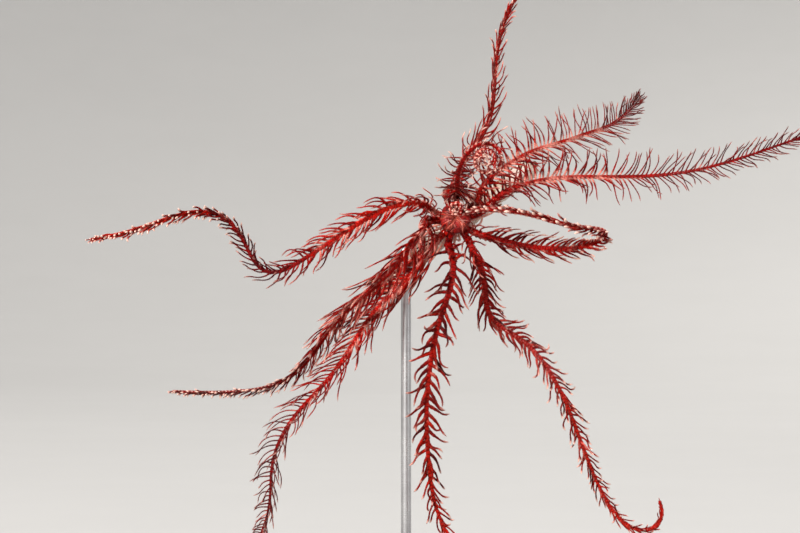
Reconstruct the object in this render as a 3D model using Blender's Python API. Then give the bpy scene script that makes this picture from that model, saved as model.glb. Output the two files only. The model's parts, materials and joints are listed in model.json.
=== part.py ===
"""A Mediterranean feather star, life size, gripping a cut gorgonian stem on a small display stand.

Metres, +Z up. The origin is the centre of the stand base's underside. The star's mouth faces -Y,
and its ten arms spread out round it to the left, right, above and below.
"""

import bmesh
import bpy
import math
import random

import numpy as np
from mathutils import Vector

# Lengths below are in millimetres, and become metres where a mesh is made.
MM = 0.001
GAP = 0.3

# The stand: a flat base under the lowest arm tip, and one rod up to a ring round the stem.
BASE_SIZE = (112.0, 74.0, 8.0)
BASE_CORNER = 12.0
BASE_CORNER_STEPS = 6
BASE_EDGE = 1.2
ROD_RADIUS = 1.3
ROD_SIDES = 14
ROD_FOOT_RADIUS = 4.0
ROD_FOOT_HEIGHT = 2.6
RING_LENGTH = 4.0
RING_WALL = 1.0
RING_PLACE = -15.5
RING_SIDES = 20

# The crown: its mouth side looks out of the picture and a little up.
CROWN_CENTRE = Vector((0.0, -5.0, 97.0))
CROWN_TILT = math.radians(14.0)
ORAL = Vector((0.0, -math.cos(CROWN_TILT), math.sin(CROWN_TILT)))
ABORAL = -ORAL
CROWN_RIGHT = Vector((1.0, 0.0, 0.0))
CROWN_UP = ORAL.cross(CROWN_RIGHT)

# The calyx: a cup of plates with five short rays, each forked into the roots of two arms.
CUP_PROFILE = ((1.6, -2.0), (2.3, -1.5), (2.75, -0.6), (2.75, 0.2), (2.45, 0.55))
CUP_SIDES = 20
RAY_COUNT = 5
FIRST_RAY_TURN = math.radians(26.0)
RAY_REACH = (0.8, 3.5)
RAY_RADII = (1.3, 0.8)
RAY_SIDES = 8
FORK_REACH = 2.5
FORK_RADIUS = 0.8
FORK_TURN = math.radians(12.0)
ARM_ROOT_REACH = 4.9
ARM_ROOT_HEIGHT = -0.25

# The rods that stand for the cup and the disc where pinnules are kept clear of them: a fan of equal
# rods from the crown's axis, at a height, out to a reach.
ROOM_SPOKES = 10
CUP_ROOM_HEIGHT = -0.7
CUP_ROOM_REACH = 1.6
CUP_ROOM_RADIUS = 1.3
DISC_ROOM_HEIGHT = 1.85
DISC_ROOM_REACH = 2.6
DISC_ROOM_RADIUS = 1.0

# The soft disc on the calyx, with the mouth's dimple and the anal cone beside it.
DISC_PROFILE = ((2.7, 0.85), (3.55, 1.35), (3.4, 2.1), (2.5, 2.75), (0.9, 2.85))
MOUTH_DEPTH = 2.3
DISC_SIDES = 20
ANAL_CONE_HEIGHT = 2.2
ANAL_CONE_RADII = (0.8, 0.4)
ANAL_CONE_SIDES = 8
ANAL_CONE_REACH = 1.75
ANAL_CONE_FOOT = 1.6
ANAL_CONE_TURN = math.radians(62.0)

# The knob behind the calyx, and the cirri that it grips the stem with.
KNOB_PROFILE = ((1.7, -2.3), (1.95, -2.9), (1.6, -3.6), (0.9, -3.95))
KNOB_SIDES = 12
CIRRUS_COUNT = 18
CIRRUS_LENGTH = 13.5
CIRRUS_ROOT_RADIUS = 0.45
CIRRUS_TIP_RADIUS = 0.33
CIRRUS_SIDES = 4
CIRRUS_LARGEST_SWEEP = math.radians(150.0)
CIRRUS_STEPS = 7
CIRRUS_ROW_HEIGHTS = (-2.75, -3.45)
CIRRUS_ROW_REACHES = (2.85, 2.15)
CIRRUS_SUNK_REACH = 0.8
CIRRUS_DROP = 0.3
CIRRUS_FIRST_TURN = 0.85
CIRRUS_FIRST_RUN = 2.9
CIRRUS_RUN = 7.6
CIRRUS_STAND_OFF = 0.5
CIRRUS_CLEARANCE = 0.1

# The cut gorgonian stem, which bows away from the star, and its horny core.
STEM_HALF_LENGTH = 25.0
STEM_SLOPE = math.radians(38.0)
STEM_RADIUS = 2.5
STEM_CENTRE = CROWN_CENTRE + ABORAL * (3.95 + 0.7 + STEM_RADIUS)
STEM_BOW = 6.0
STEM_SIDES = 12
STEM_STATIONS = 12
CORE_RADIUS = 0.9
CORE_STUB = 1.6

# The arms. Their section is a pentagon whose flat side, the food groove, faces the mouth side.
ARM_ROOT_RADIUS = 0.9
ARM_TIP_RADIUS = 0.42
ARM_RISE = 0.6
ARM_LEAD = 3.0
ARM_SIDES = 5
ARM_SECTION_TURN = math.radians(54.0)
SAMPLES_PER_MM = 4
STATION_LENGTH = 5.0
STATION_TURN = math.radians(20.0)

# The pinnules, the side branches in two rows along each arm, which alternate left and right.
PINNULE_ROOT_RADIUS = 0.42
PINNULE_MID_RADIUS = 0.35
PINNULE_TIP_RADIUS = 0.12
PINNULE_THINNING = 0.28
PINNULE_SIDES = 3
PINNULE_SPACING = 2.4
PINNULE_MID = 0.5
PINNULE_LIFTS = (math.radians(58.0), math.radians(18.0))
PINNULE_LIFT_FALLS = (2.0, 11.0)
PINNULE_CLOSING = 0.7
FIRST_PINNULE = 2.2
PINNULE_SHORTEST = 1.5
PINNULE_VARIATION = 0.07
PINNULE_ROOT_DEPTH = 0.15
PINNULE_MARGIN = 0.65
SHORTER_PINNULES = (1.0, 0.82, 0.66, 0.5, 0.36)
PINNULE_END = 0.6
OWN_ARM_REACH = 2.6
OWN_ARM_DEPTH = 1.0
OWN_GAP = 0.12

PIECE_NAMES = {3: ("base", "mid", "tip"), 4: ("base", "mid", "outer", "tip")}

STAND_BROWN = (0.045, 0.028, 0.02)
ROD_STEEL = (0.62, 0.62, 0.64)
STAR_RED = (0.55, 0.03, 0.02)
DISC_RED = (0.42, 0.05, 0.03)
CIRRUS_RED = (0.62, 0.16, 0.12)
STEM_CREAM = (0.83, 0.76, 0.70)


def curl(centre, radii, turns, depths, step=60.0):
    """Route points along a flat curl that winds from its first radius and turn to its last."""
    count = max(2, round(abs(turns[1] - turns[0]) / step))
    made = []
    for i in range(count + 1):
        share = i / count
        turn = math.radians(turns[0] + (turns[1] - turns[0]) * share)
        radius = radii[0] + (radii[1] - radii[0]) * share
        depth = depths[0] + (depths[1] - depths[0]) * share
        made.append((centre[0] + radius * math.cos(turn), depth, centre[1] + radius * math.sin(turn)))
    return made


class Arm:
    """One arm: its route, how its pinnules stand, how it rolls and where it is parted."""

    def __init__(self, route, lengths, opening, roll=(0.0, 0.0), cuts=(0.34, 0.68)):
        self.route = route
        self.lengths = lengths
        self.opening = opening
        self.roll = roll
        self.cuts = cuts


# Routes run outwards, in millimetres from the crown's centre: right, back and up. Pinnule lengths,
# and their opening from the arm in degrees, are given at the root, the middle and the tip.
ARM_TO_THE_RIGHT = Arm(
    [(11.3, -3.0, 7.0), (18.8, 0.0, 9.4), (25.5, 2.0, 10.8), (36.3, 3.0, 10.9), (47.0, 4.0, 10.9),
     (54.0, 4.0, 11.5), (61.5, 3.0, 12.6), (71.5, 1.0, 15.4), (78.5, -1.0, 17.9), (87.0, -4.0, 20.8),
     (96.0, -8.0, 24.6)],
    (8.0, 7.5, 4.0), (62.0, 42.0, 30.0), roll=(-10.0, 35.0),
)
ARM_BACK_TO_THE_RIGHT = Arm(
    [(6.5, -3.5, 8.6), (10.5, -2.0, 12.0), (15.5, 1.0, 15.4), (21.0, 5.0, 18.2), (29.0, 10.0, 20.3),
     (34.5, 15.0, 22.6), (40.0, 21.0, 24.2), (45.3, 28.0, 28.2), (49.0, 36.0, 33.0)],
    (8.0, 8.0, 3.5), (60.0, 52.0, 28.0), roll=(0.0, 10.0),
)
ARM_IN_A_WHORL = Arm(
    [(0.6, -8.0, 7.0), (0.2, -14.0, 9.4), (0.6, -19.0, 12.4),
     *curl((7.2, 14.2), (5.2, 2.2), (160.0, -410.0), (-22.5, -31.0))],
    (6.5, 4.6, 2.4), (55.0, 50.0, 45.0), cuts=(0.36, 0.66),
)
ARM_UP = Arm(
    [(-0.6, -2.0, 7.6), (0.8, 1.0, 12.4), (3.3, 4.5, 16.6), (6.2, 7.0, 20.0), (8.6, 8.5, 24.4),
     (9.8, 10.0, 29.4), (10.2, 11.0, 35.4), (10.6, 12.0, 41.4), (11.6, 12.5, 47.4), (13.6, 12.0, 53.0),
     (16.5, 10.0, 58.4), (20.0, 6.0, 63.0), (23.6, 0.0, 66.4)],
    (7.5, 7.0, 3.4), (58.0, 44.0, 26.0), roll=(20.0, -20.0),
)
ARM_TO_THE_LEFT = Arm(
    [(-8.2, -5.0, 4.2), (-12.6, -5.5, 4.2), (-17.0, -5.5, 2.9), (-22.3, -4.5, 0.2), (-27.8, -2.5, -3.2),
     (-33.3, -0.5, -6.9), (-38.8, 1.0, -10.4), (-43.3, 2.5, -13.0), (-47.4, 3.0, -13.4),
     (-50.6, 3.0, -10.4), (-52.3, 2.0, -6.2), (-55.2, 1.0, -1.2), (-60.0, -1.0, 2.2), (-66.3, -3.0, 2.3),
     (-73.8, -5.0, -0.4), (-81.3, -6.5, -3.2), (-90.6, -8.0, -5.0)],
    (7.5, 6.0, 2.6), (50.0, 34.0, 20.0), roll=(-10.0, 25.0), cuts=(0.30, 0.52, 0.76),
)
ARM_BACK_TO_THE_LEFT = Arm(
    [(-7.8, -5.0, -2.6), (-11.2, -6.5, -6.8), (-15.0, -6.5, -11.8), (-21.4, -5.0, -18.0), (-27.0, -2.0, -22.4),
     (-31.2, 1.5, -27.0), (-34.8, 4.5, -32.4), (-39.0, 8.0, -37.8), (-44.4, 12.0, -41.6),
     (-52.0, 17.0, -43.4), (-61.4, 22.5, -44.0), (-72.6, 28.0, -43.8)],
    (7.5, 7.0, 2.6), (52.0, 44.0, 22.0), roll=(0.0, -10.0),
)
ARM_DOWN_TO_THE_LEFT = Arm(
    [(-5.8, -1.5, -7.6), (-9.6, 0.5, -12.4), (-14.0, 2.0, -16.6), (-18.6, 3.0, -21.2), (-22.6, 2.6, -26.0),
     (-26.2, 0.5, -32.2), (-30.2, -2.0, -38.2), (-35.0, -4.0, -43.4), (-40.4, -5.0, -49.0),
     (-44.2, -4.5, -55.4), (-46.0, -3.0, -62.0), (-46.0, 0.0, -69.0), (-47.2, 3.0, -75.2), (-49.4, 6.5, -80.4)],
    (7.5, 6.5, 3.0), (54.0, 62.0, 40.0), roll=(10.0, 45.0),
)
ARM_DOWN = Arm(
    [(-0.6, -6.5, -8.2), (-0.4, -8.0, -13.6), (-2.0, -8.0, -19.4), (-4.4, -8.0, -26.0), (-5.8, -8.0, -32.6),
     (-6.8, -8.0, -39.4), (-7.3, -7.5, -46.6), (-7.1, -6.5, -54.0), (-6.6, -5.0, -61.4), (-5.8, -4.0, -68.2),
     (-4.2, -3.0, -73.8), (-1.6, -3.5, -79.0), (2.0, -4.5, -83.6)],
    (7.5, 6.5, 3.4), (58.0, 40.0, 26.0), roll=(0.0, 15.0),
)
ARM_DOWN_TO_THE_RIGHT = Arm(
    [(3.8, -3.5, -7.0), (6.2, -2.0, -10.6), (7.5, 0.5, -15.6), (7.6, 2.5, -20.8), (9.2, 3.5, -25.2),
     (13.6, 3.0, -28.0), (19.0, 1.0, -31.4), (23.4, -1.0, -37.4), (27.2, -2.0, -44.2), (30.2, -2.0, -52.2),
     (33.0, -2.0, -59.8), (35.9, -2.0, -66.8), (38.9, -3.0, -72.2),
     *curl((47.4, -72.4), (6.4, 4.2), (215.0, 400.0), (-4.0, -6.5))],
    (7.0, 5.5, 2.2), (54.0, 34.0, 24.0), roll=(0.0, -20.0), cuts=(0.30, 0.58, 0.84),
)
ARM_FOLDED_OVER = Arm(
    [(7.6, -2.5, -4.2), (13.4, 0.5, -5.8), (20.2, 3.0, -7.0), (27.2, 4.0, -7.4), (33.2, 2.5, -6.6),
     (37.2, -2.0, -4.6), (37.4, -7.5, -2.8), (33.8, -11.5, -2.2), (28.8, -13.5, -1.8), (22.8, -14.5, -0.2),
     (16.4, -15.0, 1.6), (10.0, -15.0, 2.2), (4.6, -15.0, 2.2),
     *curl((0.2, 2.6), (2.0, 1.4), (250.0, -60.0), (-15.0, -16.4))],
    (7.0, 4.0, 1.8), (56.0, 28.0, 18.0), cuts=(0.30, 0.52, 0.80),
)
ARMS = (
    ARM_TO_THE_RIGHT, ARM_BACK_TO_THE_RIGHT, ARM_IN_A_WHORL, ARM_UP, ARM_TO_THE_LEFT,
    ARM_BACK_TO_THE_LEFT, ARM_DOWN_TO_THE_LEFT, ARM_DOWN, ARM_DOWN_TO_THE_RIGHT, ARM_FOLDED_OVER,
)


def clear_scene():
    for obj in list(bpy.data.objects):
        bpy.data.objects.remove(obj, do_unlink=True)


def material(name, colour, roughness, metallic=0.0):
    made = bpy.data.materials.new(name)
    made.use_nodes = True
    shader = made.node_tree.nodes["Principled BSDF"]
    shader.inputs["Base Color"].default_value = (*colour, 1.0)
    shader.inputs["Roughness"].default_value = roughness
    shader.inputs["Metallic"].default_value = metallic
    made.diffuse_color = (*colour, 1.0)
    return made


def mesh_object(name, points, faces):
    """An object whose points are given in millimetres, with its faces turned outwards."""
    mesh = bpy.data.meshes.new(name)
    mesh.from_pydata([tuple(c * MM for c in p) for p in points], [], faces)
    shaping = bmesh.new()
    shaping.from_mesh(mesh)
    bmesh.ops.recalc_face_normals(shaping, faces=shaping.faces)
    shaping.to_mesh(mesh)
    shaping.free()
    obj = bpy.data.objects.new(name, mesh)
    bpy.context.scene.collection.objects.link(obj)
    return obj


def ring(centre, across, up, radius_across, radius_up, sides, turn=0.0):
    """One ring of points round centre."""
    made = []
    for i in range(sides):
        angle = turn + math.tau * i / sides
        made.append(centre + across * (radius_across * math.cos(angle)) + up * (radius_up * math.sin(angle)))
    return made


def loft(rings, end_point=None):
    """Points and faces of a tube through rings of equal count, capped or drawn to a point at its end."""
    sides = len(rings[0])
    points = [p for made in rings for p in made]
    faces = [tuple(range(sides))[::-1]]
    for row in range(len(rings) - 1):
        first = row * sides
        for i in range(sides):
            j = (i + 1) % sides
            faces.append((first + i, first + j, first + sides + j, first + sides + i))
    last = (len(rings) - 1) * sides
    if end_point is None:
        faces.append(tuple(last + i for i in range(sides)))
    else:
        points.append(end_point)
        for i in range(sides):
            faces.append((last + i, last + (i + 1) % sides, len(points) - 1))
    return points, faces


def lofted(name, rings, end_point=None):
    return mesh_object(name, *loft(rings, end_point))


def apply_modifiers(obj):
    graph = bpy.context.evaluated_depsgraph_get()
    mesh = bpy.data.meshes.new_from_object(obj.evaluated_get(graph))
    obj.modifiers.clear()
    obj.data = mesh


def keep_largest(obj):
    """Leaves only the closed surface with the most points, in triangles."""
    shaping = bmesh.new()
    shaping.from_mesh(obj.data)
    bmesh.ops.remove_doubles(shaping, verts=shaping.verts, dist=1e-7)
    left = set(shaping.verts)
    shells = []
    while left:
        front = [left.pop()]
        shell = set(front)
        while front:
            for edge in front.pop().link_edges:
                for vert in edge.verts:
                    if vert in left:
                        left.discard(vert)
                        shell.add(vert)
                        front.append(vert)
        shells.append(shell)
    largest = max(shells, key=len)
    dropped = [v for shell in shells if shell is not largest for v in shell]
    bmesh.ops.delete(shaping, geom=dropped, context="VERTS")
    bmesh.ops.triangulate(shaping, faces=shaping.faces)
    shaping.to_mesh(obj.data)
    shaping.free()


def node(name, pieces, finish, cutter=None):
    """Joins closed pieces into one named solid, less the cutter if there is one."""
    body = pieces[0]
    if len(pieces) > 1:
        others = bpy.data.collections.new(name + "_pieces")
        bpy.context.scene.collection.children.link(others)
        for piece in pieces[1:]:
            bpy.context.scene.collection.objects.unlink(piece)
            others.objects.link(piece)
        union = body.modifiers.new("union", "BOOLEAN")
        union.operation = "UNION"
        union.operand_type = "COLLECTION"
        union.collection = others
        apply_modifiers(body)
        for piece in list(others.objects):
            bpy.data.objects.remove(piece, do_unlink=True)
        bpy.data.collections.remove(others)
    if cutter is not None:
        cut = body.modifiers.new("cut", "BOOLEAN")
        cut.operation = "DIFFERENCE"
        cut.object = cutter
        apply_modifiers(body)
        bpy.data.objects.remove(cutter, do_unlink=True)
    keep_largest(body)
    body.name = name
    body.data.name = name
    body.data.materials.clear()
    body.data.materials.append(finish)
    return body


def spline(controls, samples_per_span=24):
    """Points along a cubic B-spline that starts and ends at its first and last control."""
    ends = [controls[0] * 2 - controls[1], *controls, controls[-1] * 2 - controls[-2]]
    made = []
    for a, b, c, d in zip(ends, ends[1:], ends[2:], ends[3:]):
        for step in range(samples_per_span):
            t = step / samples_per_span
            made.append(
                (a * (1 - t) ** 3 + b * (3 * t**3 - 6 * t**2 + 4)
                 + c * (-3 * t**3 + 3 * t**2 + 3 * t + 1) + d * t**3) / 6
            )
    made.append(controls[-1])
    return made


class Line:
    """A smooth centreline, read at any distance along it, with a frame that rolls only as told."""

    def __init__(self, controls, first_normal, roll=(0.0, 0.0)):
        rough = spline(controls)
        steps = [0.0]
        for a, b in zip(rough, rough[1:]):
            steps.append(steps[-1] + (b - a).length)
        self.length = steps[-1]
        self.last = int(self.length * SAMPLES_PER_MM)
        wanted = [self.length * i / self.last for i in range(self.last + 1)]
        axes = [np.interp(wanted, steps, [p[axis] for p in rough]) for axis in range(3)]
        self.points = [Vector(map(float, p)) for p in zip(*axes)]
        self.tangents = [
            (self.points[min(i + 2, self.last)] - self.points[max(i - 2, 0)]).normalized()
            for i in range(self.last + 1)
        ]
        normal = first_normal
        self.normals = []
        for i, tangent in enumerate(self.tangents):
            normal = (normal - tangent * normal.dot(tangent)).normalized()
            angle = math.radians(roll[0] + (roll[1] - roll[0]) * i / self.last)
            self.normals.append(normal * math.cos(angle) + tangent.cross(normal) * math.sin(angle))

    def index(self, distance):
        return max(0, min(self.last, round(distance / self.length * self.last)))

    def at(self, distance):
        """Centre, tangent, normal and side at a distance from the root."""
        i = self.index(distance)
        tangent, normal = self.tangents[i], self.normals[i]
        return self.points[i], tangent, normal, normal.cross(tangent)

    def stations(self, start, end):
        """Distances from start to end, closer together where the line bends."""
        made = [start]
        held, turned = self.index(start), 0.0
        for i in range(held + 1, self.index(end)):
            turned += self.tangents[i].angle(self.tangents[i - 1])
            if turned > STATION_TURN or (i - held) / SAMPLES_PER_MM > STATION_LENGTH:
                made.append(self.length * i / self.last)
                held, turned = i, 0.0
        if end - made[-1] < 1.0 and len(made) > 1:
            made.pop()
        made.append(end)
        return made


def crown_point(turn, radius, height):
    """A point on the crown: turned round the mouth, out from its axis, and up towards the mouth side."""
    outward = CROWN_RIGHT * math.cos(turn) + CROWN_UP * math.sin(turn)
    return CROWN_CENTRE + outward * radius + ORAL * height


def crown_rings(profile, sides):
    return [[crown_point(math.tau * i / sides, r, h) for i in range(sides)] for r, h in profile]


def ray_turn(number):
    return FIRST_RAY_TURN + math.tau * (number // 2) / RAY_COUNT


def arm_turn(number):
    """Arms 0 and 1 share the first ray, arms 2 and 3 the next, and so on."""
    return ray_turn(number) + (FORK_TURN if number % 2 else -FORK_TURN)


def arm_line(number):
    arm = ARMS[number]
    root = crown_point(arm_turn(number), ARM_ROOT_REACH, ARM_ROOT_HEIGHT)
    outward = (crown_point(arm_turn(number), ARM_ROOT_REACH, 0.0) - CROWN_CENTRE).normalized()
    lead = root + (outward + ORAL * ARM_RISE).normalized() * ARM_LEAD
    controls = [root, lead, *(CROWN_CENTRE + Vector(p) for p in arm.route)]
    return Line(controls, ORAL, arm.roll)


def arm_radius(share):
    return ARM_ROOT_RADIUS + (ARM_TIP_RADIUS - ARM_ROOT_RADIUS) * share


def along(values, share):
    """A value read between its root, middle and tip."""
    return float(np.interp(share, (0.0, 0.5, 1.0), values))


def arm_spans(line, cuts):
    """Start and end distances of an arm's lengths, with a gap at each cut."""
    edges = [0.0, *(line.length * cut for cut in cuts), line.length]
    spans = []
    for i, (start, end) in enumerate(zip(edges, edges[1:])):
        first = start + (GAP / 2 if i else 0.0)
        last = end - (GAP / 2 if i < len(edges) - 2 else 0.0)
        spans.append((first, last))
    return spans


def arm_ring(line, distance, back=0.0):
    """The arm's section at a distance from its root, moved back along it if told."""
    centre, tangent, normal, side = line.at(distance)
    radius = arm_radius(distance / line.length)
    return ring(centre - tangent * back, side, normal, radius, radius, ARM_SIDES, ARM_SECTION_TURN)


def segment_distances(p, q, starts, ends):
    """Smallest distance from the segment p to q to each of many segments, by sampling p to q."""
    nearest = np.full(len(starts), np.inf)
    spans = ends - starts
    squares = np.maximum((spans**2).sum(axis=1), 1e-12)
    for t in np.linspace(0.0, 1.0, 9):
        point = p + (q - p) * t
        share = np.clip(((point - starts) * spans).sum(axis=1) / squares, 0.0, 1.0)
        nearest = np.minimum(nearest, np.linalg.norm(starts + spans * share[:, None] - point, axis=1))
    return nearest


class Room:
    """What is already placed, as round rods, so that a new pinnule can be kept clear of it."""

    def __init__(self):
        self.rods = []

    def add(self, owner, points, radii, place=None):
        """Adds a bent rod. Place is its distance along its arm, for a stretch of the arm itself."""
        for i in range(len(points) - 1):
            middle = None if place is None else (place[i] + place[i + 1]) / 2
            self.rods.append((owner, middle, points[i], points[i + 1], max(radii[i], radii[i + 1])))

    def add_plate(self, owner, height, reach, radius):
        """Adds a fan of rods round the crown's axis."""
        for spoke in range(ROOM_SPOKES):
            end = crown_point(math.tau * spoke / ROOM_SPOKES, reach, height)
            self.add(owner, [crown_point(0.0, 0.0, height), end], [radius, radius])

    def clear(self, owner, points, radii, place):
        """Whether a pinnule of owner, rooted at place, keeps clear of all but its own root."""
        free = (points[1] - points[0]).normalized() * OWN_ARM_DEPTH
        points = [points[0] + free, *points[1:]]
        near = [
            rod for rod in self.rods
            if rod[0] != owner or rod[1] is None or abs(rod[1] - place) > OWN_ARM_REACH
        ]
        starts = np.array([rod[2] for rod in near])
        ends = np.array([rod[3] for rod in near])
        gaps = np.array([OWN_GAP if rod[0] == owner else GAP for rod in near])
        limits = np.array([rod[4] for rod in near]) + gaps
        for i in range(len(points) - 1):
            found = segment_distances(np.array(points[i]), np.array(points[i + 1]), starts, ends)
            if (found < limits + max(radii[i], radii[i + 1])).any():
                return False
        return True


def pinnule_path(line, arm, distance, hand, length, lean):
    """Root, middle and tip of a pinnule that leaves the arm on one side."""
    centre, tangent, normal, side = line.at(distance)
    share = distance / line.length
    opening = math.radians(along(arm.opening, share)) * lean
    lift = float(np.interp(distance, PINNULE_LIFT_FALLS, PINNULE_LIFTS))
    out = side * (hand * math.cos(lift)) + normal * math.sin(lift)
    first = tangent * math.cos(opening) + out * math.sin(opening)
    later = tangent * math.cos(opening * PINNULE_CLOSING) + out * math.sin(opening * PINNULE_CLOSING)
    root = centre + out * (arm_radius(share) * PINNULE_ROOT_DEPTH)
    mid = root + first * (length * PINNULE_MID)
    return [root, mid, mid + later * (length * (1 - PINNULE_MID))]


def pinnule_radii(share):
    thinning = 1.0 - PINNULE_THINNING * share
    return [PINNULE_ROOT_RADIUS * thinning, PINNULE_MID_RADIUS * thinning, PINNULE_TIP_RADIUS]


def pinnule(name, path, radii, out):
    """A bent three-sided taper, whose flat side faces the food groove."""
    rings = []
    for i in range(2):
        axis = (path[i + 1] - path[i]).normalized()
        up = (out - axis * out.dot(axis)).normalized()
        rings.append(ring(path[i], axis.cross(up), up, radii[i], radii[i], PINNULE_SIDES, -math.pi / 2))
    return lofted(name, rings, end_point=path[2])


def place_pinnules(room, number, line, spans, draw):
    """The pinnules of each length of an arm, shortened or left out where they would meet another node."""
    arm = ARMS[number]
    placed = [[] for _ in spans]
    count = int((line.length - FIRST_PINNULE - PINNULE_END) / (PINNULE_SPACING / 2)) + 1
    for i in range(count):
        distance = FIRST_PINNULE + PINNULE_SPACING / 2 * i
        share = distance / line.length
        length = along(arm.lengths, share) * draw.uniform(1 - PINNULE_VARIATION, 1 + PINNULE_VARIATION)
        lean = draw.uniform(1 - PINNULE_VARIATION, 1 + PINNULE_VARIATION)
        radii = pinnule_radii(share)
        for piece, (start, end) in enumerate(spans):
            nearest = min(max(distance, start + PINNULE_MARGIN), end - PINNULE_MARGIN)
            if abs(nearest - distance) > PINNULE_MARGIN:
                continue
            for shorter in SHORTER_PINNULES:
                if length * shorter < PINNULE_SHORTEST:
                    break
                path = pinnule_path(line, arm, nearest, 1 if i % 2 else -1, length * shorter, lean)
                if room.clear((number, piece), path, radii, nearest):
                    room.add((number, piece), path, radii)
                    placed[piece].append((path, radii, line.at(nearest)[2]))
                    break
            break
    return placed


def build_arms(lines, room, finish):
    draw = random.Random(7)
    spans = [arm_spans(line, arm.cuts) for line, arm in zip(lines, ARMS)]
    for number, line in enumerate(lines):
        for piece, (start, end) in enumerate(spans[number]):
            stations = line.stations(start, end)
            radii = [arm_radius(s / line.length) for s in stations]
            room.add((number, piece), [line.at(s)[0] for s in stations], radii, stations)
    for number, line in enumerate(lines):
        placed = place_pinnules(room, number, line, spans[number], draw)
        for piece, (start, end) in enumerate(spans[number]):
            name = f"arm_{number + 1:02d}_{PIECE_NAMES[len(spans[number])][piece]}"
            rings = [arm_ring(line, s) for s in line.stations(start, end)]
            end_point = None
            if piece == len(spans[number]) - 1:
                end_point = line.at(end)[0] + line.at(end)[1] * ARM_TIP_RADIUS
            pieces = [lofted(name, rings, end_point)]
            for k, (path, radii, out) in enumerate(placed[piece]):
                pieces.append(pinnule(f"{name}_pinnule_{k}", path, radii, out))
            node(name, pieces, finish)


def build_calyx(lines, room, finish):
    """The cup of plates and its five rays, each forked to the roots of two arms."""
    pieces = [lofted("calyx", crown_rings(CUP_PROFILE, CUP_SIDES))]
    for number in range(0, len(ARMS), 2):
        turn = ray_turn(number)
        sideways = crown_point(turn + math.pi / 2, 1.0, 0.0) - CROWN_CENTRE
        rings = [
            ring(crown_point(turn, reach, ARM_ROOT_HEIGHT), sideways, ORAL, *RAY_RADII, RAY_SIDES)
            for reach in RAY_REACH
        ]
        pieces.append(lofted(f"ray_{number}", rings))
    for number, line in enumerate(lines):
        centre, tangent, normal, side = line.at(0.0)
        start = crown_point(arm_turn(number), FORK_REACH, ARM_ROOT_HEIGHT)
        radius = arm_radius(0.0)
        rings = [
            ring(start, side, normal, FORK_RADIUS, FORK_RADIUS, ARM_SIDES, ARM_SECTION_TURN),
            arm_ring(line, 0.0, back=GAP),
        ]
        pieces.append(lofted(f"fork_{number}", rings))
        room.add("calyx", [start, centre - tangent * GAP], [radius, radius])
    room.add_plate("calyx", CUP_ROOM_HEIGHT, CUP_ROOM_REACH, CUP_ROOM_RADIUS)
    return node("calyx", pieces, finish)


def build_disc(room, finish):
    """The soft disc: a low dome with the mouth's dimple and the anal cone beside it."""
    dome = lofted("disc", crown_rings(DISC_PROFILE, DISC_SIDES), crown_point(0.0, 0.0, MOUTH_DEPTH))
    foot = crown_point(ANAL_CONE_TURN, ANAL_CONE_REACH, ANAL_CONE_FOOT)
    top = foot + ORAL * ANAL_CONE_HEIGHT
    cone_rings = [
        ring(place, CROWN_RIGHT, CROWN_UP, radius, radius, ANAL_CONE_SIDES)
        for place, radius in ((foot, ANAL_CONE_RADII[0]), (top, ANAL_CONE_RADII[1]))
    ]
    room.add_plate("disc", DISC_ROOM_HEIGHT, DISC_ROOM_REACH, DISC_ROOM_RADIUS)
    room.add("disc", [foot, top], ANAL_CONE_RADII)
    return node("disc", [dome, lofted("anal_cone", cone_rings)], finish)


def stem_frame(distance):
    """Centre of the stem at a distance from its middle, its direction, and the way to the star."""
    share = distance / STEM_HALF_LENGTH
    run = Vector((math.cos(STEM_SLOPE), 0.0, math.sin(STEM_SLOPE)))
    centre = STEM_CENTRE + run * distance + Vector((0.0, STEM_BOW * share * share, 0.0))
    run = (run + Vector((0.0, 2 * STEM_BOW * share / STEM_HALF_LENGTH, 0.0))).normalized()
    facing = ORAL
    facing = (facing - run * facing.dot(run)).normalized()
    return centre, run, facing, run.cross(facing)


def build_stem(room, finish):
    """The cut stem, with a stub of its core showing at both ends."""
    rings = []
    for hand in (-1, 1):
        centre, run, facing, side = stem_frame(hand * STEM_HALF_LENGTH)
        stub = [
            ring(centre + run * hand * CORE_STUB, facing, side, CORE_RADIUS, CORE_RADIUS, STEM_SIDES),
            ring(centre, facing, side, CORE_RADIUS, CORE_RADIUS, STEM_SIDES),
        ]
        if hand < 0:
            rings += stub
            for i in range(STEM_STATIONS):
                distance = STEM_HALF_LENGTH * (2 * i / (STEM_STATIONS - 1) - 1)
                centre, _, facing, side = stem_frame(distance)
                rings.append(ring(centre, facing, side, STEM_RADIUS, STEM_RADIUS, STEM_SIDES))
        else:
            rings += stub[::-1]
    distances = [STEM_HALF_LENGTH * (i / 10 - 1) for i in range(21)]
    room.add("perch", [stem_frame(d)[0] for d in distances], [STEM_RADIUS] * len(distances))
    return node("perch_stem", [lofted("perch_stem", rings)], finish)


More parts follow.
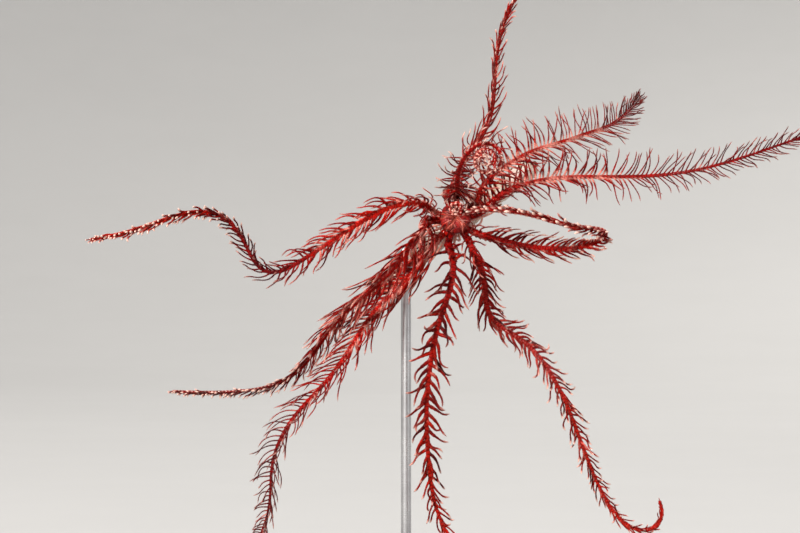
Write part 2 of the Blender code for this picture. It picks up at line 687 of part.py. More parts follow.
def cirrus_path(number):
    """From the knob to the stem and round it, as part of a helix that grips it."""
    turn = math.tau * (number + 0.5) / CIRRUS_COUNT
    around, beside = math.cos(turn), math.sin(turn)
    reach = STEM_RADIUS + CIRRUS_ROOT_RADIUS + GAP + CIRRUS_CLEARANCE
    sweep = max(-CIRRUS_LARGEST_SWEEP, min(CIRRUS_LARGEST_SWEEP, CIRRUS_LENGTH * around / reach))
    _, run, facing, side = stem_frame(0.0)
    outward = side * around + run * beside
    knob = CROWN_CENTRE + ORAL * CIRRUS_ROW_HEIGHTS[number % 2]
    path = [
        knob + outward * CIRRUS_SUNK_REACH,
        knob + outward * CIRRUS_ROW_REACHES[number % 2] + ABORAL * CIRRUS_DROP,
    ]
    for i in range(1, CIRRUS_STEPS + 1):
        share = i / CIRRUS_STEPS
        angle = around * CIRRUS_FIRST_TURN + (sweep - around * CIRRUS_FIRST_TURN) * share
        centre, _, near, across = stem_frame(beside * (CIRRUS_FIRST_RUN + CIRRUS_RUN * share))
        lift = reach + CIRRUS_STAND_OFF * (1 - share)
        path.append(centre + near * (math.cos(angle) * lift) + across * (math.sin(angle) * lift))
    return path


def build_cirri(room, finish):
    """The knob behind the calyx, with its hooked cirri."""
    pieces = [lofted("cirri", crown_rings(KNOB_PROFILE, KNOB_SIDES))]
    for number in range(CIRRUS_COUNT):
        line = Line(cirrus_path(number), ABORAL)
        stations = line.stations(0.0, line.length)
        thinning = (CIRRUS_TIP_RADIUS - CIRRUS_ROOT_RADIUS) / line.length
        radii = [CIRRUS_ROOT_RADIUS + thinning * s for s in stations]
        rings = []
        for s, radius in zip(stations, radii):
            centre, _, normal, side = line.at(s)
            rings.append(ring(centre, side, normal, radius, radius, CIRRUS_SIDES))
        pieces.append(lofted(f"cirrus_{number}", rings))
        room.add("cirri", [line.at(s)[0] for s in stations], radii)
    return node("cirri", pieces, finish)


def build_rod(room, finish):
    """The rod, with a foot on the base and a ring round the stem at its top."""
    centre, run, facing, side = stem_frame(RING_PLACE)
    outer = STEM_RADIUS + GAP + RING_WALL
    inner = STEM_RADIUS + GAP
    collar = [
        ring(centre + run * (RING_LENGTH / 2 * hand), facing, side, outer, outer, RING_SIDES) for hand in (-1, 1)
    ]
    bore = [ring(centre + run * (RING_LENGTH * hand), facing, side, inner, inner, RING_SIDES) for hand in (-1, 1)]
    floor = BASE_SIZE[2] + GAP
    across, up = Vector((1.0, 0.0, 0.0)), Vector((0.0, 1.0, 0.0))
    levels = (
        (floor, ROD_FOOT_RADIUS), (floor + ROD_FOOT_HEIGHT * 0.6, ROD_FOOT_RADIUS),
        (floor + ROD_FOOT_HEIGHT, ROD_RADIUS), (centre.z, ROD_RADIUS),
    )
    rod = [ring(Vector((centre.x, centre.y, z)), across, up, r, r, ROD_SIDES) for z, r in levels]
    room.add("rod", [Vector((centre.x, centre.y, floor)), centre], [ROD_RADIUS, ROD_RADIUS])
    room.add("rod", [centre - run * (RING_LENGTH / 2 - 1), centre + run * (RING_LENGTH / 2 - 1)], [outer, outer])
    pieces = [lofted("stand_rod", rod), lofted("stand_ring", collar)]
    return node("stand_rod", pieces, finish, cutter=lofted("stem_bore", bore))


def build_base(finish):
    """The flat base, its corners rounded and its upper edge eased."""
    width, depth, height = BASE_SIZE
    corners = ((1, 1), (-1, 1), (-1, -1), (1, -1))
    outline = []
    for corner, (sx, sy) in enumerate(corners):
        for step in range(BASE_CORNER_STEPS + 1):
            angle = math.radians(90 * (corner + step / BASE_CORNER_STEPS))
            middle = (sx * (width / 2 - BASE_CORNER), sy * (depth / 2 - BASE_CORNER))
            outline.append((*middle, math.cos(angle), math.sin(angle)))
    rings = []
    for drop, inset in ((height, 0.0), (BASE_EDGE, 0.0), (BASE_EDGE * 0.3, BASE_EDGE * 0.3), (0.0, BASE_EDGE)):
        radius = BASE_CORNER - inset
        rings.append([Vector((x + radius * c, y + radius * s, height - drop)) for x, y, c, s in outline])
    return node("stand_base", [lofted("stand_base", rings)], finish)


def main():
    clear_scene()
    star = material("star", STAR_RED, 0.45)
    lines = [arm_line(number) for number in range(len(ARMS))]
    room = Room()
    build_base(material("stand_wood", STAND_BROWN, 0.5))
    build_rod(room, material("stand_metal", ROD_STEEL, 0.3, metallic=1.0))
    build_stem(room, material("perch", STEM_CREAM, 0.7))
    build_cirri(room, material("cirri", CIRRUS_RED, 0.45))
    build_calyx(lines, room, star)
    build_disc(room, material("disc", DISC_RED, 0.4))
    build_arms(lines, room, star)


main()
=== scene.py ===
"""The looks of a life-size Mediterranean feather star, on its cut gorgonian stem and display stand.

Metres, +Z up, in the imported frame. The animal's routes and sizes are given in millimetres, as those
of its solids are, and become metres where a mesh is made.
"""

import json
import logging
import math
import random
from collections.abc import Callable, Iterator, Sequence
from contextlib import contextmanager
from dataclasses import dataclass, field
from enum import Enum

import bmesh
import bpy
import numpy as np
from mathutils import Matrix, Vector
from mathutils.kdtree import KDTree

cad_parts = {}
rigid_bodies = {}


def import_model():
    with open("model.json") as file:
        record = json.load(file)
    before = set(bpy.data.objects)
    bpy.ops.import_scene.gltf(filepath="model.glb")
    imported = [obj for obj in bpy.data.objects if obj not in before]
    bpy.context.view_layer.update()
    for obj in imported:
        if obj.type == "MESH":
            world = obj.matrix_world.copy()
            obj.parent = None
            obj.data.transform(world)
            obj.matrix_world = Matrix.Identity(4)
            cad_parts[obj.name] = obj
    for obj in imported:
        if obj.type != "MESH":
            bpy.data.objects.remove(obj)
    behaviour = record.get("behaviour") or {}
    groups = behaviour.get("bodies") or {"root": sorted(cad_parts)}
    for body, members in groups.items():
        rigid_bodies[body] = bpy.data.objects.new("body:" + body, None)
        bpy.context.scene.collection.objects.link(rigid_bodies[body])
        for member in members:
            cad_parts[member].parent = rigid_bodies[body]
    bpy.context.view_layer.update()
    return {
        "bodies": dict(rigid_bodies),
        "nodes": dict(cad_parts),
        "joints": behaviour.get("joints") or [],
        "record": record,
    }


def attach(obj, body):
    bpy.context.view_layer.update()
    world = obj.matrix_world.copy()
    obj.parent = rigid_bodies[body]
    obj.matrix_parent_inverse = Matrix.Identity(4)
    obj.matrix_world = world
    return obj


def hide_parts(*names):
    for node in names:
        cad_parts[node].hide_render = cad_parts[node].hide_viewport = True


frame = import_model()

LOG = logging.getLogger("feather_star")
BODY = "root"
COAT_MAP = "OFBake"
MARKS = ("joints", "pale", "shade", "warm", "dots")

# A millimetre, and how near counts as the same place, both in metres.
MM = 0.001
NEAR = 1e-6

# Where a pinnule's or a tube foot's patch of the unwrap starts and ends, from its middle.
PATCH = np.array([-0.0015, 0.0015])

Pair = tuple[float, float]
Triple = tuple[float, float, float]
Colour = tuple[float, float, float]
Steps = tuple[float, ...]
Profile = tuple[Pair, ...]
Into = dict[str | int, object]
Sockets = dict[str, tuple[str, object]]
Array = np.ndarray
Obj = bpy.types.Object
Material = bpy.types.Material
Socket = bpy.types.NodeSocket


class Slot(Enum):
    """The record's material slots."""

    STAR = "star"
    DISC = "disc"
    CIRRI = "cirri"
    PERCH = "perch"
    WOOD = "stand_wood"
    METAL = "stand_metal"


# Small sums


def unit(vectors: Array) -> Array:
    """Gives vectors of length one, along the last axis."""
    return vectors / np.maximum(np.linalg.norm(vectors, axis=-1, keepdims=True), 1e-12)


def turns(sides: int, spin: float = 0.0) -> Array:
    """Parts one turn evenly, moved on by a share of a part."""
    return math.tau * (np.arange(sides) + spin) / sides


def turned(turn: Array, first: Array, second: Array) -> Array:
    """Gives the ways at each turn from a first way towards a second, as the axis before the last."""
    return np.cos(turn)[..., None] * first + np.sin(turn)[..., None] * second


def run_of(points: Array) -> Array:
    """Gives each point's distance along the line through them all."""
    return np.concatenate([[0.0], np.cumsum(np.linalg.norm(np.diff(points, axis=0), axis=1))])


def read_rows(where: Array, steps: Array, rows: Array) -> Array:
    """Reads between rows that are given at rising steps."""
    return np.column_stack([np.interp(where, steps, column) for column in rows.T])


def eased(low: float, high: float, value: Array | float) -> Array:
    """Rises smoothly from 0 at low to 1 at high."""
    share = np.clip((np.asarray(value, float) - low) / (high - low), 0.0, 1.0)
    return share * share * (3 - 2 * share)


def along(values: Sequence[float], share: Array | float) -> Array:
    """Reads a value that is given in even steps from the root to the tip."""
    return np.interp(share, np.linspace(0.0, 1.0, len(values)), values)


def swell(distance: Array | float, width: float) -> Array:
    """A smooth hump of height 1 at distance 0."""
    return np.exp(-((np.asarray(distance, float) / width) ** 2))


def wrapped(angle: Array) -> Array:
    """Brings angles between minus and plus half a turn."""
    return (angle + math.pi) % math.tau - math.pi


def spline(controls: Array, per_span: int = 24) -> Array:
    """Samples a cubic B-spline that starts and ends at its first and last control.

    Args:
        controls: The points that pull the curve, one a row.
        per_span: Samples between two controls.

    Returns:
        The samples, one a row.
    """
    ends = np.vstack([2 * controls[0] - controls[1], controls, 2 * controls[-1] - controls[-2]])
    t = (np.arange(per_span) / per_span)[:, None]
    pulls = ((1 - t) ** 3, 3 * t**3 - 6 * t**2 + 4, -3 * t**3 + 3 * t**2 + 3 * t + 1, t**3)
    spans = [sum(pull * point for pull, point in zip(pulls, ends[i:i + 4])) / 6 for i in range(len(ends) - 3)]
    return np.vstack([*spans, controls[-1]])


@dataclass
class Track:
    """A smooth centreline with a frame that rolls only as told, in millimetres."""

    distances: Array
    points: Array
    tangents: Array
    normals: Array
    per_mm: float = 12.0
    reach: int = 3

    @classmethod
    def through(
        cls, controls: Array, first_normal: Array, roll: Sequence[float] = (0.0,), start: Array | None = None
    ) -> "Track":
        """Lays a track along the spline of its controls.

        Args:
            controls: The spline's controls, one a row.
            first_normal: Where the normal points at the start, as nearly as the tangent lets it.
            roll: Degrees that the frame has rolled, in even steps from the first control to the end.
            start: A point from which a straight lead runs to the first control, if any.

        Returns:
            The track. Its distance is 0 at the first control, and less than that on the lead.
        """
        rough = spline(np.asarray(controls, float))
        steps = run_of(rough)
        if start is not None:
            steps = np.append(-np.linalg.norm(rough[0] - start), steps)
            rough = np.vstack([start, rough])
        count = int((steps[-1] - steps[0]) * cls.per_mm)
        distances = np.linspace(steps[0], steps[-1], count + 1)
        points = read_rows(distances, steps, rough)
        place = np.arange(count + 1)
        ahead, behind = np.minimum(place + cls.reach, count), np.maximum(place - cls.reach, 0)
        tangents = unit(points[ahead] - points[behind])
        rolled = np.radians(along(roll, distances / steps[-1]))
        normals = np.empty_like(points)
        held = np.asarray(first_normal, float)
        for i, tangent in enumerate(tangents):
            held = unit(held - tangent * held.dot(tangent))
            normals[i] = held * math.cos(rolled[i]) + np.cross(tangent, held) * math.sin(rolled[i])
        return cls(distances, points, tangents, normals)

    @property
    def length(self) -> float:
        """The distance of the track's end."""
        return float(self.distances[-1])

    def at(self, distance: Array | float) -> tuple[Array, Array, Array, Array]:
        """Reads the centre, tangent, normal and side at one or more distances, one a row."""
        where = np.atleast_1d(np.asarray(distance, float))
        centre, tangent, normal = (
            read_rows(where, self.distances, rows) for rows in (self.points, self.tangents, self.normals)
        )
        tangent, normal = unit(tangent), unit(normal)
        return centre, tangent, normal, np.cross(normal, tangent)


# Meshes


class Sheaf:
    """Gathers closed tubes and copied forms into one mesh, with their marks and their unwrap."""

    def __init__(self, name: str, marks: Sequence[str] = (), mapped: bool = False) -> None:
        """Starts an empty sheaf.

        Args:
            name: The piece's name.
            marks: The names of the values that each point carries for its material.
            mapped: Whether each corner has a place on the coat's unwrap.
        """
        self.name = name
        self.marks: dict[str, list[Array]] = {mark: [] for mark in marks}
        self.mapped = mapped
        self.points: list[Array] = []
        self.corners: list[Array] = []
        self.sizes: list[Array] = []
        self.places: list[Array] = []
        self.count = 0

    def add_tubes(
        self, rings: Array, tips: Array | None, marks: dict[str, Array] | None = None,
        lengthwise: Array | None = None, around: Array | None = None, root_closed: bool = True,
    ) -> None:
        """Adds tubes of one make.

        Args:
            rings: Points as tube, ring, side and axis, in millimetres, turning left about the tube's way.
            tips: The points that the tubes are drawn to, one a row, or None for flat ends.
            marks: For each mark, values that spread over tube, ring and side.
            lengthwise: For each tube, the unwrap's first coordinate at each ring and at the tip.
            around: For each tube, the unwrap's second coordinate where its rings start and end.
            root_closed: Whether the first ring is closed by a face.
        """
        tubes, rows, sides = rings.shape[:3]
        own = rows * sides
        body = rings.reshape(tubes, own, 3)
        if tips is not None:
            body = np.concatenate([body, tips[:, None]], 1)
        self.points.append(body.reshape(-1, 3))
        first = self.count + body.shape[1] * np.arange(tubes)[:, None]
        self.count += body.shape[1] * tubes
        side = np.arange(sides)
        down, across = np.mgrid[:rows - 1, :sides]
        faces = [(down[..., None] + (0, 0, 1, 1), across[..., None] + (0, 1, 1, 0))]
        if root_closed:
            faces.append((np.zeros((1, sides), int), side[None, ::-1]))
        if tips is None:
            faces.append((np.full((1, sides), rows - 1), side[None]))
        else:
            faces.append((rows - 1 + np.tile((0, 0, 1), (sides, 1)), side[:, None] + (0, 1, 0.5)))
        for ring, column in faces:
            size = ring.shape[-1]
            ring, column = ring.reshape(-1), column.reshape(-1)
            corner = np.where(ring == rows, own, ring * sides + column.astype(int) % sides)
            self.corners.append((first + corner).reshape(-1))
            self.sizes.append(np.full(tubes * len(corner) // size, size))
            if self.mapped:
                up = around[:, :1] + (around[:, 1:] - around[:, :1]) * (column / sides)
                self.places.append(np.stack([lengthwise[:, ring], up], -1).reshape(-1, 2))
        for mark, kept in self.marks.items():
            value = (marks or {}).get(mark, np.zeros((1, 1, 1)))
            spread = np.broadcast_to(value, (tubes, rows, sides)).reshape(tubes, own)
            kept.append((spread if tips is None else np.hstack([spread, spread[:, -1:]])).reshape(-1))

    def add_copies(self, pattern: "Pattern", points: Array, marks: dict[str, Array] | None = None) -> None:
        """Adds copies of a pattern.

        Args:
            pattern: The form that is copied.
            points: The copies' points, as copy, point and axis, in millimetres.
            marks: For each mark, values that spread over copy and point.
        """
        copies, size = points.shape[:2]
        first = self.count + size * np.arange(copies)
        self.count += size * copies
        self.points.append(points.reshape(-1, 3))
        self.corners.append((first[:, None] + pattern.corners).reshape(-1))
        self.sizes.append(np.tile(pattern.sizes, copies))
        for mark, kept in self.marks.items():
            value = (marks or {}).get(mark, np.zeros((1, 1)))
            kept.append(np.broadcast_to(value, (copies, size)).reshape(-1))

    def build(self, material: Material) -> Obj:
        """Makes the mesh and its object, smooth all over."""
        corners, sizes = np.concatenate(self.corners), np.concatenate(self.sizes)
        mesh = bpy.data.meshes.new(self.name)
        mesh.vertices.add(self.count)
        mesh.vertices.foreach_set("co", (np.concatenate(self.points) * MM).astype(np.float32).ravel())
        mesh.loops.add(len(corners))
        mesh.loops.foreach_set("vertex_index", corners.astype(np.int32))
        mesh.polygons.add(len(sizes))
        mesh.polygons.foreach_set("loop_start", (np.cumsum(sizes) - sizes).astype(np.int32))
        mesh.update(calc_edges=True)
        for mark, kept in self.marks.items():
            made = mesh.attributes.new(mark, "FLOAT", "POINT")
            made.data.foreach_set("value", np.concatenate(kept).astype(np.float32))
        if self.mapped:
            layer = mesh.uv_layers.new(name=COAT_MAP)
            layer.data.foreach_set("uv", np.concatenate(self.places).astype(np.float32).ravel())
        mesh.shade_smooth()
        mesh.materials.append(material)
        obj = bpy.data.objects.new(self.name, mesh)
        bpy.context.scene.collection.objects.link(obj)
        return obj


def placed(obj: Obj, slot: Slot, *nodes: str) -> Obj:
    """Sets a finished piece in the frame, in place of some of its solids."""
    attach(obj, BODY)
    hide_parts(*nodes)
    return obj


def deselect() -> None:
    """Leaves nothing selected, so that the next operator acts only on what it adds."""
    bpy.ops.object.select_all(action="DESELECT")


def alone(obj: Obj) -> Obj:
    """Selects one object and makes it active."""
    deselect()
    obj.select_set(True)
    bpy.context.view_layer.objects.active = obj
    return obj


def cylinder(sides: int, radius: float, depth: float, **settings: object) -> Obj:
    """Adds a cylinder with nothing else selected."""
    deselect()
    bpy.ops.mesh.primitive_cylinder_add(vertices=sides, radius=radius, depth=depth, **settings)
    return bpy.context.object


def joined(first: Obj, second: Obj) -> Obj:
    """Joins a second object to a first."""
    alone(first)
    second.select_set(True)
    bpy.ops.object.join()
    return first


def lie_along(obj: Obj, way: Array, place: Array) -> Obj:
    """Turns an object that lies along Z to lie along a way, at a place in millimetres."""
    obj.rotation_mode = "QUATERNION"
    obj.rotation_quaternion = Vector(way).to_track_quat("Z", "Y")
    obj.location = Vector(place * MM)
    return settle(obj, obj.name)


@contextmanager
def editing(obj: Obj) -> Iterator[None]:
    """Opens an object in edit mode with nothing selected, and closes it again."""
    alone(obj)
    bpy.ops.object.mode_set(mode="EDIT")
    bpy.ops.mesh.select_all(action="DESELECT")
    yield
    bpy.ops.object.mode_set(mode="OBJECT")


def pick_faces(obj: Obj, wanted: Callable[[Vector, Vector], bool]) -> None:
    """Selects, in edit mode, only the faces whose centre and normal are wanted."""
    bpy.ops.mesh.select_mode(type="FACE")
    bpy.ops.mesh.select_all(action="DESELECT")
    shape = bmesh.from_edit_mesh(obj.data)
    for face in shape.faces:
        face.select_set(wanted(face.calc_center_median(), face.normal))
    bmesh.update_edit_mesh(obj.data)


def pick_top(obj: Obj, least: float = 0.9) -> None:
    """Selects, in edit mode, only the faces that look up."""
    pick_faces(obj, lambda centre, normal: normal.z > least)


def pick_edges(obj: Obj, wanted: Callable[[Vector, Vector], bool]) -> None:
    """Selects, in edit mode, only the edges whose two ends are wanted."""
    bpy.ops.mesh.select_mode(type="EDGE")
    bpy.ops.mesh.select_all(action="DESELECT")
    shape = bmesh.from_edit_mesh(obj.data)
    for edge in shape.edges:
        edge.select_set(wanted(edge.verts[0].co, edge.verts[1].co))
    shape.select_flush_mode()
    bmesh.update_edit_mesh(obj.data)


def step_out(rise: float, scale: float) -> None:
    """Extrudes the selected top face up by rise and scales it."""
    bpy.ops.mesh.extrude_region_move(TRANSFORM_OT_translate={"value": (0.0, 0.0, rise)})
    bpy.ops.transform.resize(value=(scale, scale, 1.0))


def settle(obj: Obj, name: str) -> Obj:
    """Names an object and its mesh, and moves its place into the mesh."""
    alone(obj)
    bpy.ops.object.transform_apply(location=True, rotation=True, scale=True)
    obj.name = name
    obj.data.name = name
    return obj


def apply_all(obj: Obj) -> None:
    """Applies an object's modifiers in their order."""
    alone(obj)
    for modifier in list(obj.modifiers):
        bpy.ops.object.modifier_apply(modifier=modifier.name)


def combine(body: Obj, other: Obj, operation: str = "UNION", **settings: object) -> None:
    """Unites a body with another, which is used up, or cuts it out of the body."""
    modifier = body.modifiers.new("combine", "BOOLEAN")
    modifier.operation = operation
    modifier.object = other
    for name, value in settings.items():
        setattr(modifier, name, value)
    apply_all(body)
    bpy.data.objects.remove(other, do_unlink=True)


def finished(obj: Obj, name: str, sharp: float, material: Material) -> Obj:
    """Shades a modelled piece smooth, but for edges sharper than an angle, and gives it its finish."""
    alone(obj)
    bpy.ops.object.shade_smooth_by_angle(angle=math.radians(sharp))
    obj.data.materials.clear()
    obj.data.materials.append(material)
    return settle(obj, name)


def points_of(mesh: bpy.types.Mesh) -> Array:
    """Reads a mesh's points, one a row."""
    points = np.empty(len(mesh.vertices) * 3)
    mesh.vertices.foreach_get("co", points)
    return points.reshape(-1, 3)


def tree_of(points: Sequence[Array]) -> KDTree:
    """Sorts points by their place."""
    tree = KDTree(len(points))
    for i, point in enumerate(points):
        tree.insert(Vector(point), i)
    tree.balance()
    return tree


@dataclass
class Pattern:
    """A small form that is modelled once, then copied: its points, and its faces' corners and sizes."""

    points: Array
    corners: Array
    sizes: Array

    @classmethod
    def of(cls, obj: Obj) -> "Pattern":
        """Reads a modelled object, which is then removed."""
        corners = np.empty(len(obj.data.loops), int)
        obj.data.loops.foreach_get("vertex_index", corners)
        made = cls(points_of(obj.data), corners, np.array([len(face.vertices) for face in obj.data.polygons]))
        bpy.data.objects.remove(obj, do_unlink=True)
        return made


# Shading


class Wiring:
    """Adds nodes to one node tree and joins them."""

    def __init__(self, tree: bpy.types.NodeTree) -> None:
        """Takes the tree that the nodes go into."""
        self.tree = tree

    def add(self, kind: str, *, into: Into | None = None, **settings: object) -> bpy.types.Node:
        """Adds a node.

        Args:
            kind: The node's type, without its ShaderNode prefix.
            into: For each input, by name or number, a value or the output that feeds it.
            settings: The node's own properties.

        Returns:
            The new node.
        """
        made = self.tree.nodes.new("ShaderNode" + kind)
        for name, value in settings.items():
            setattr(made, name, value)
        for socket, value in (into or {}).items():
            self.feed(made.inputs[socket], value)
        return made

    def feed(self, socket: Socket, value: object) -> None:
        """Joins an output to a socket, or sets the socket's own value."""
        if isinstance(value, Socket):
            self.tree.links.new(value, socket)
        elif isinstance(value, tuple) and len(value) == 3 and socket.type == "RGBA":
            socket.default_value = (*value, 1.0)
        else:
            socket.default_value = value

    def maths(self, operation: str, *values: object, clamp: bool = False) -> Socket:
        """Gives the result of a Math node."""
        return self.add("Math", operation=operation, use_clamp=clamp, into=dict(enumerate(values))).outputs[0]

    def blend(self, share: object, first: object, second: object) -> Socket:
        """Gives a mix of two colours."""
        return self.add("Mix", data_type="RGBA", into={0: share, 6: first, 7: second}).outputs[2]

    def noise(self, place: object, scale: object, detail: float = 3.0, roughness: float = 0.55) -> Socket:
        """Gives a noise value at a place."""
        settings = {"Vector": place, "Scale": scale, "Detail": detail, "Roughness": roughness}
        return self.add("TexNoise", into=settings).outputs["Fac"]

    def window(self, value: object, low: float, high: float) -> Socket:
        """Gives 0 below low and 1 above high, with a smooth rise between."""
        settings = {"Value": value, "From Min": low, "From Max": high}
        return self.add("MapRange", interpolation_type="SMOOTHSTEP", into=settings).outputs["Result"]

    def ranged(self, value: object, given: Pair, wanted: Pair) -> Socket:
        """Gives a value moved from one range to another."""
        names = ("Value", "From Min", "From Max", "To Min", "To Max")
        return self.add("MapRange", into=dict(zip(names, (value, *given, *wanted)))).outputs["Result"]

    def mark(self, name: str) -> Socket:
        """Gives a value that the mesh's points carry."""
        return self.add("Attribute", attribute_name=name).outputs["Fac"]

    def place(self) -> Socket:
        """Gives the place on the piece, in metres."""
        return self.add("TexCoord").outputs["Object"]


def open_group(name: str, inputs: Sockets, *outputs: tuple[str, str]) -> tuple[
    Wiring, bpy.types.NodeOutputs, bpy.types.NodeInputs
]:
    """Starts a shader node group with named sockets.

    Args:
        name: The group's name.
        inputs: For each input, its socket's kind and its default.
        outputs: Each output's name and its socket's kind.

    Returns:
        The group's wiring, the sockets that bring the inputs in and those that take the outputs.
    """
    tree = bpy.data.node_groups.new(name, "ShaderNodeTree")
    for title, (kind, default) in inputs.items():
        made = tree.interface.new_socket(title, in_out="INPUT", socket_type="NodeSocket" + kind)
        made.default_value = default
    for title, kind in outputs:
        tree.interface.new_socket(title, in_out="OUTPUT", socket_type="NodeSocket" + kind)
    entry, leave = tree.nodes.new("NodeGroupInput"), tree.nodes.new("NodeGroupOutput")
    return Wiring(tree), entry.outputs, leave.inputs


class Effects:
    """The shader node groups that several finishes share, each built once."""

    _made: dict[str, bpy.types.NodeTree] = {}

    @classmethod
    def use(cls, wiring: Wiring, name: str, into: dict[str, object]) -> bpy.types.NodeOutputs:
        """Places a group in a material.

        Args:
            wiring: The material's wiring.
            name: The group's name, which is that of the method that makes it.
            into: Values for the group's inputs.

        Returns:
            The group's outputs.
        """
        if name not in cls._made:
            cls._made[name] = getattr(cls, name)()
        made = wiring.tree.nodes.new("ShaderNodeGroup")
        made.node_tree = cls._made[name]
        for socket, value in into.items():
            wiring.feed(made.inputs[socket], value)
        return made.outputs

    @staticmethod
    def mottle() -> bpy.types.NodeTree:
        """Two colours in soft clouds broken by finer specks."""
        inputs: Sockets = {
            "Lower": ("Color", (0.5, 0.0, 0.0, 1.0)), "Upper": ("Color", (0.8, 0.1, 0.0, 1.0)),
            "Scale": ("Float", 900.0), "Specks": ("Float", 0.3),
        }
        wires, entry, leave = open_group("mottle", inputs, ("Colour", "Color"), ("Cloud", "Float"))
        place = wires.place()
        cloud = wires.noise(place, entry["Scale"], detail=4.0)
        finer = wires.noise(place, wires.maths("MULTIPLY", entry["Scale"], 6.3), detail=2.0)
        speck = wires.maths("MULTIPLY", wires.maths("SUBTRACT", finer, 0.5), entry["Specks"])
        share = wires.window(wires.maths("ADD", cloud, speck), 0.32, 0.68)
        wires.feed(leave["Colour"], wires.blend(share, entry["Lower"], entry["Upper"]))
        wires.feed(leave["Cloud"], share)
        return wires.tree

    @staticmethod
    def joints() -> bpy.types.NodeTree:
        """A thin line wherever a count of joints is whole, and the dip of the surface beside it."""
        inputs: Sockets = {"Count": ("Float", 0.0), "Width": ("Float", 0.16)}
        wires, entry, leave = open_group("joints", inputs, ("Line", "Float"), ("Height", "Float"))
        phase = wires.maths("FRACT", wires.maths("ADD", entry["Count"], 0.5))
        far = wires.maths("ABSOLUTE", wires.maths("SUBTRACT", phase, 0.5))
        near = wires.maths("SUBTRACT", 1.0, wires.maths("DIVIDE", far, entry["Width"]), clamp=True)
        wires.feed(leave["Line"], wires.maths("MULTIPLY", near, near))
        wires.feed(leave["Height"], wires.maths("SUBTRACT", 1.0, near))
        return wires.tree

    @staticmethod
    def grain() -> bpy.types.NodeTree:
        """The small relief of a grown or sanded surface: pits, pimples and a finer tooth."""
        inputs: Sockets = {"Scale": ("Float", 3000.0), "Pits": ("Float", 0.5)}
        wires, entry, leave = open_group("grain", inputs, ("Height", "Float"), ("Tooth", "Float"))
        place = wires.place()
        cells = wires.add("TexVoronoi", into={"Vector": place, "Scale": entry["Scale"]}).outputs["Distance"]
        fine = wires.noise(place, wires.maths("MULTIPLY", entry["Scale"], 2.4))
        pits = wires.maths("MULTIPLY", wires.window(cells, 0.05, 0.6), entry["Pits"])
        wires.feed(leave["Height"], wires.maths("ADD", pits, wires.maths("MULTIPLY", fine, 0.6)))
        wires.feed(leave["Tooth"], fine)
        return wires.tree


@dataclass(frozen=True)
class Finish:
    """A surface of two clouded colours with a fine relief, over which the mesh's marks lay others.

    Sizes of clouds and grain are in features a metre, the relief in metres.
    """

    name: str = "plain"
    lower: Colour = (0.2, 0.2, 0.2)
    upper: Colour = (0.4, 0.4, 0.4)
    clouds: float = 800.0
    specks: float = 0.5
    layers: tuple[tuple[str, Colour], ...] = ()
    grain: float = 5000.0
    pits: float = 0.5
    relief: float = 0.00006
    roughness: Pair = (0.3, 0.5)
    specular: float = 0.5
    coat: float = 0.0
    coat_roughness: float = 0.2
    subsurface: float = 0.0
    subsurface_radius: Triple = (0.9, 0.2, 0.12)
    subsurface_scale: float = 0.0006
    metallic: float = 0.0
    sheen: float = 0.0

    def material(self) -> Material:
        """Makes the material."""
        made = bpy.data.materials.new(self.name)
        made.use_nodes = True
        wires, shader = Wiring(made.node_tree), made.node_tree.nodes["Principled BSDF"]
        grain = Effects.use(wires, "grain", {"Scale": self.grain, "Pits": self.pits})
        height = self.height(wires, grain["Height"])
        bump = wires.add("Bump", into={"Distance": self.relief, "Height": height})
        values = {
            "Base Color": self.colour(wires), "Normal": bump.outputs["Normal"],
            "Roughness": wires.ranged(self.wear(wires, grain["Tooth"]), (0.25, 0.75), self.roughness),
            "Specular IOR Level": self.specular, "Coat Weight": self.coat,
            "Coat Roughness": self.coat_roughness, "Subsurface Weight": self.subsurface,
            "Subsurface Radius": self.subsurface_radius, "Subsurface Scale": self.subsurface_scale,
            "Metallic": self.metallic, "Sheen Weight": self.sheen,
        }
        for socket, value in values.items():
            wires.feed(shader.inputs[socket], value)
        return made

    def colour(self, wires: Wiring) -> Socket:
        """Gives the colour: the clouds, with a further colour laid over each of the named marks."""
        clouds = Effects.use(wires, "mottle", {
            "Lower": self.lower, "Upper": self.upper, "Scale": self.clouds, "Specks": self.specks,
        })
        shown = clouds["Colour"]
        for mark, colour in self.layers:
            shown = wires.blend(wires.mark(mark), shown, colour)
        return shown

    def height(self, wires: Wiring, grain: Socket) -> Socket:
        """Gives the relief's height."""
        return grain

    def wear(self, wires: Wiring, tooth: Socket) -> Socket:
        """Gives what the roughness follows."""
        return tooth


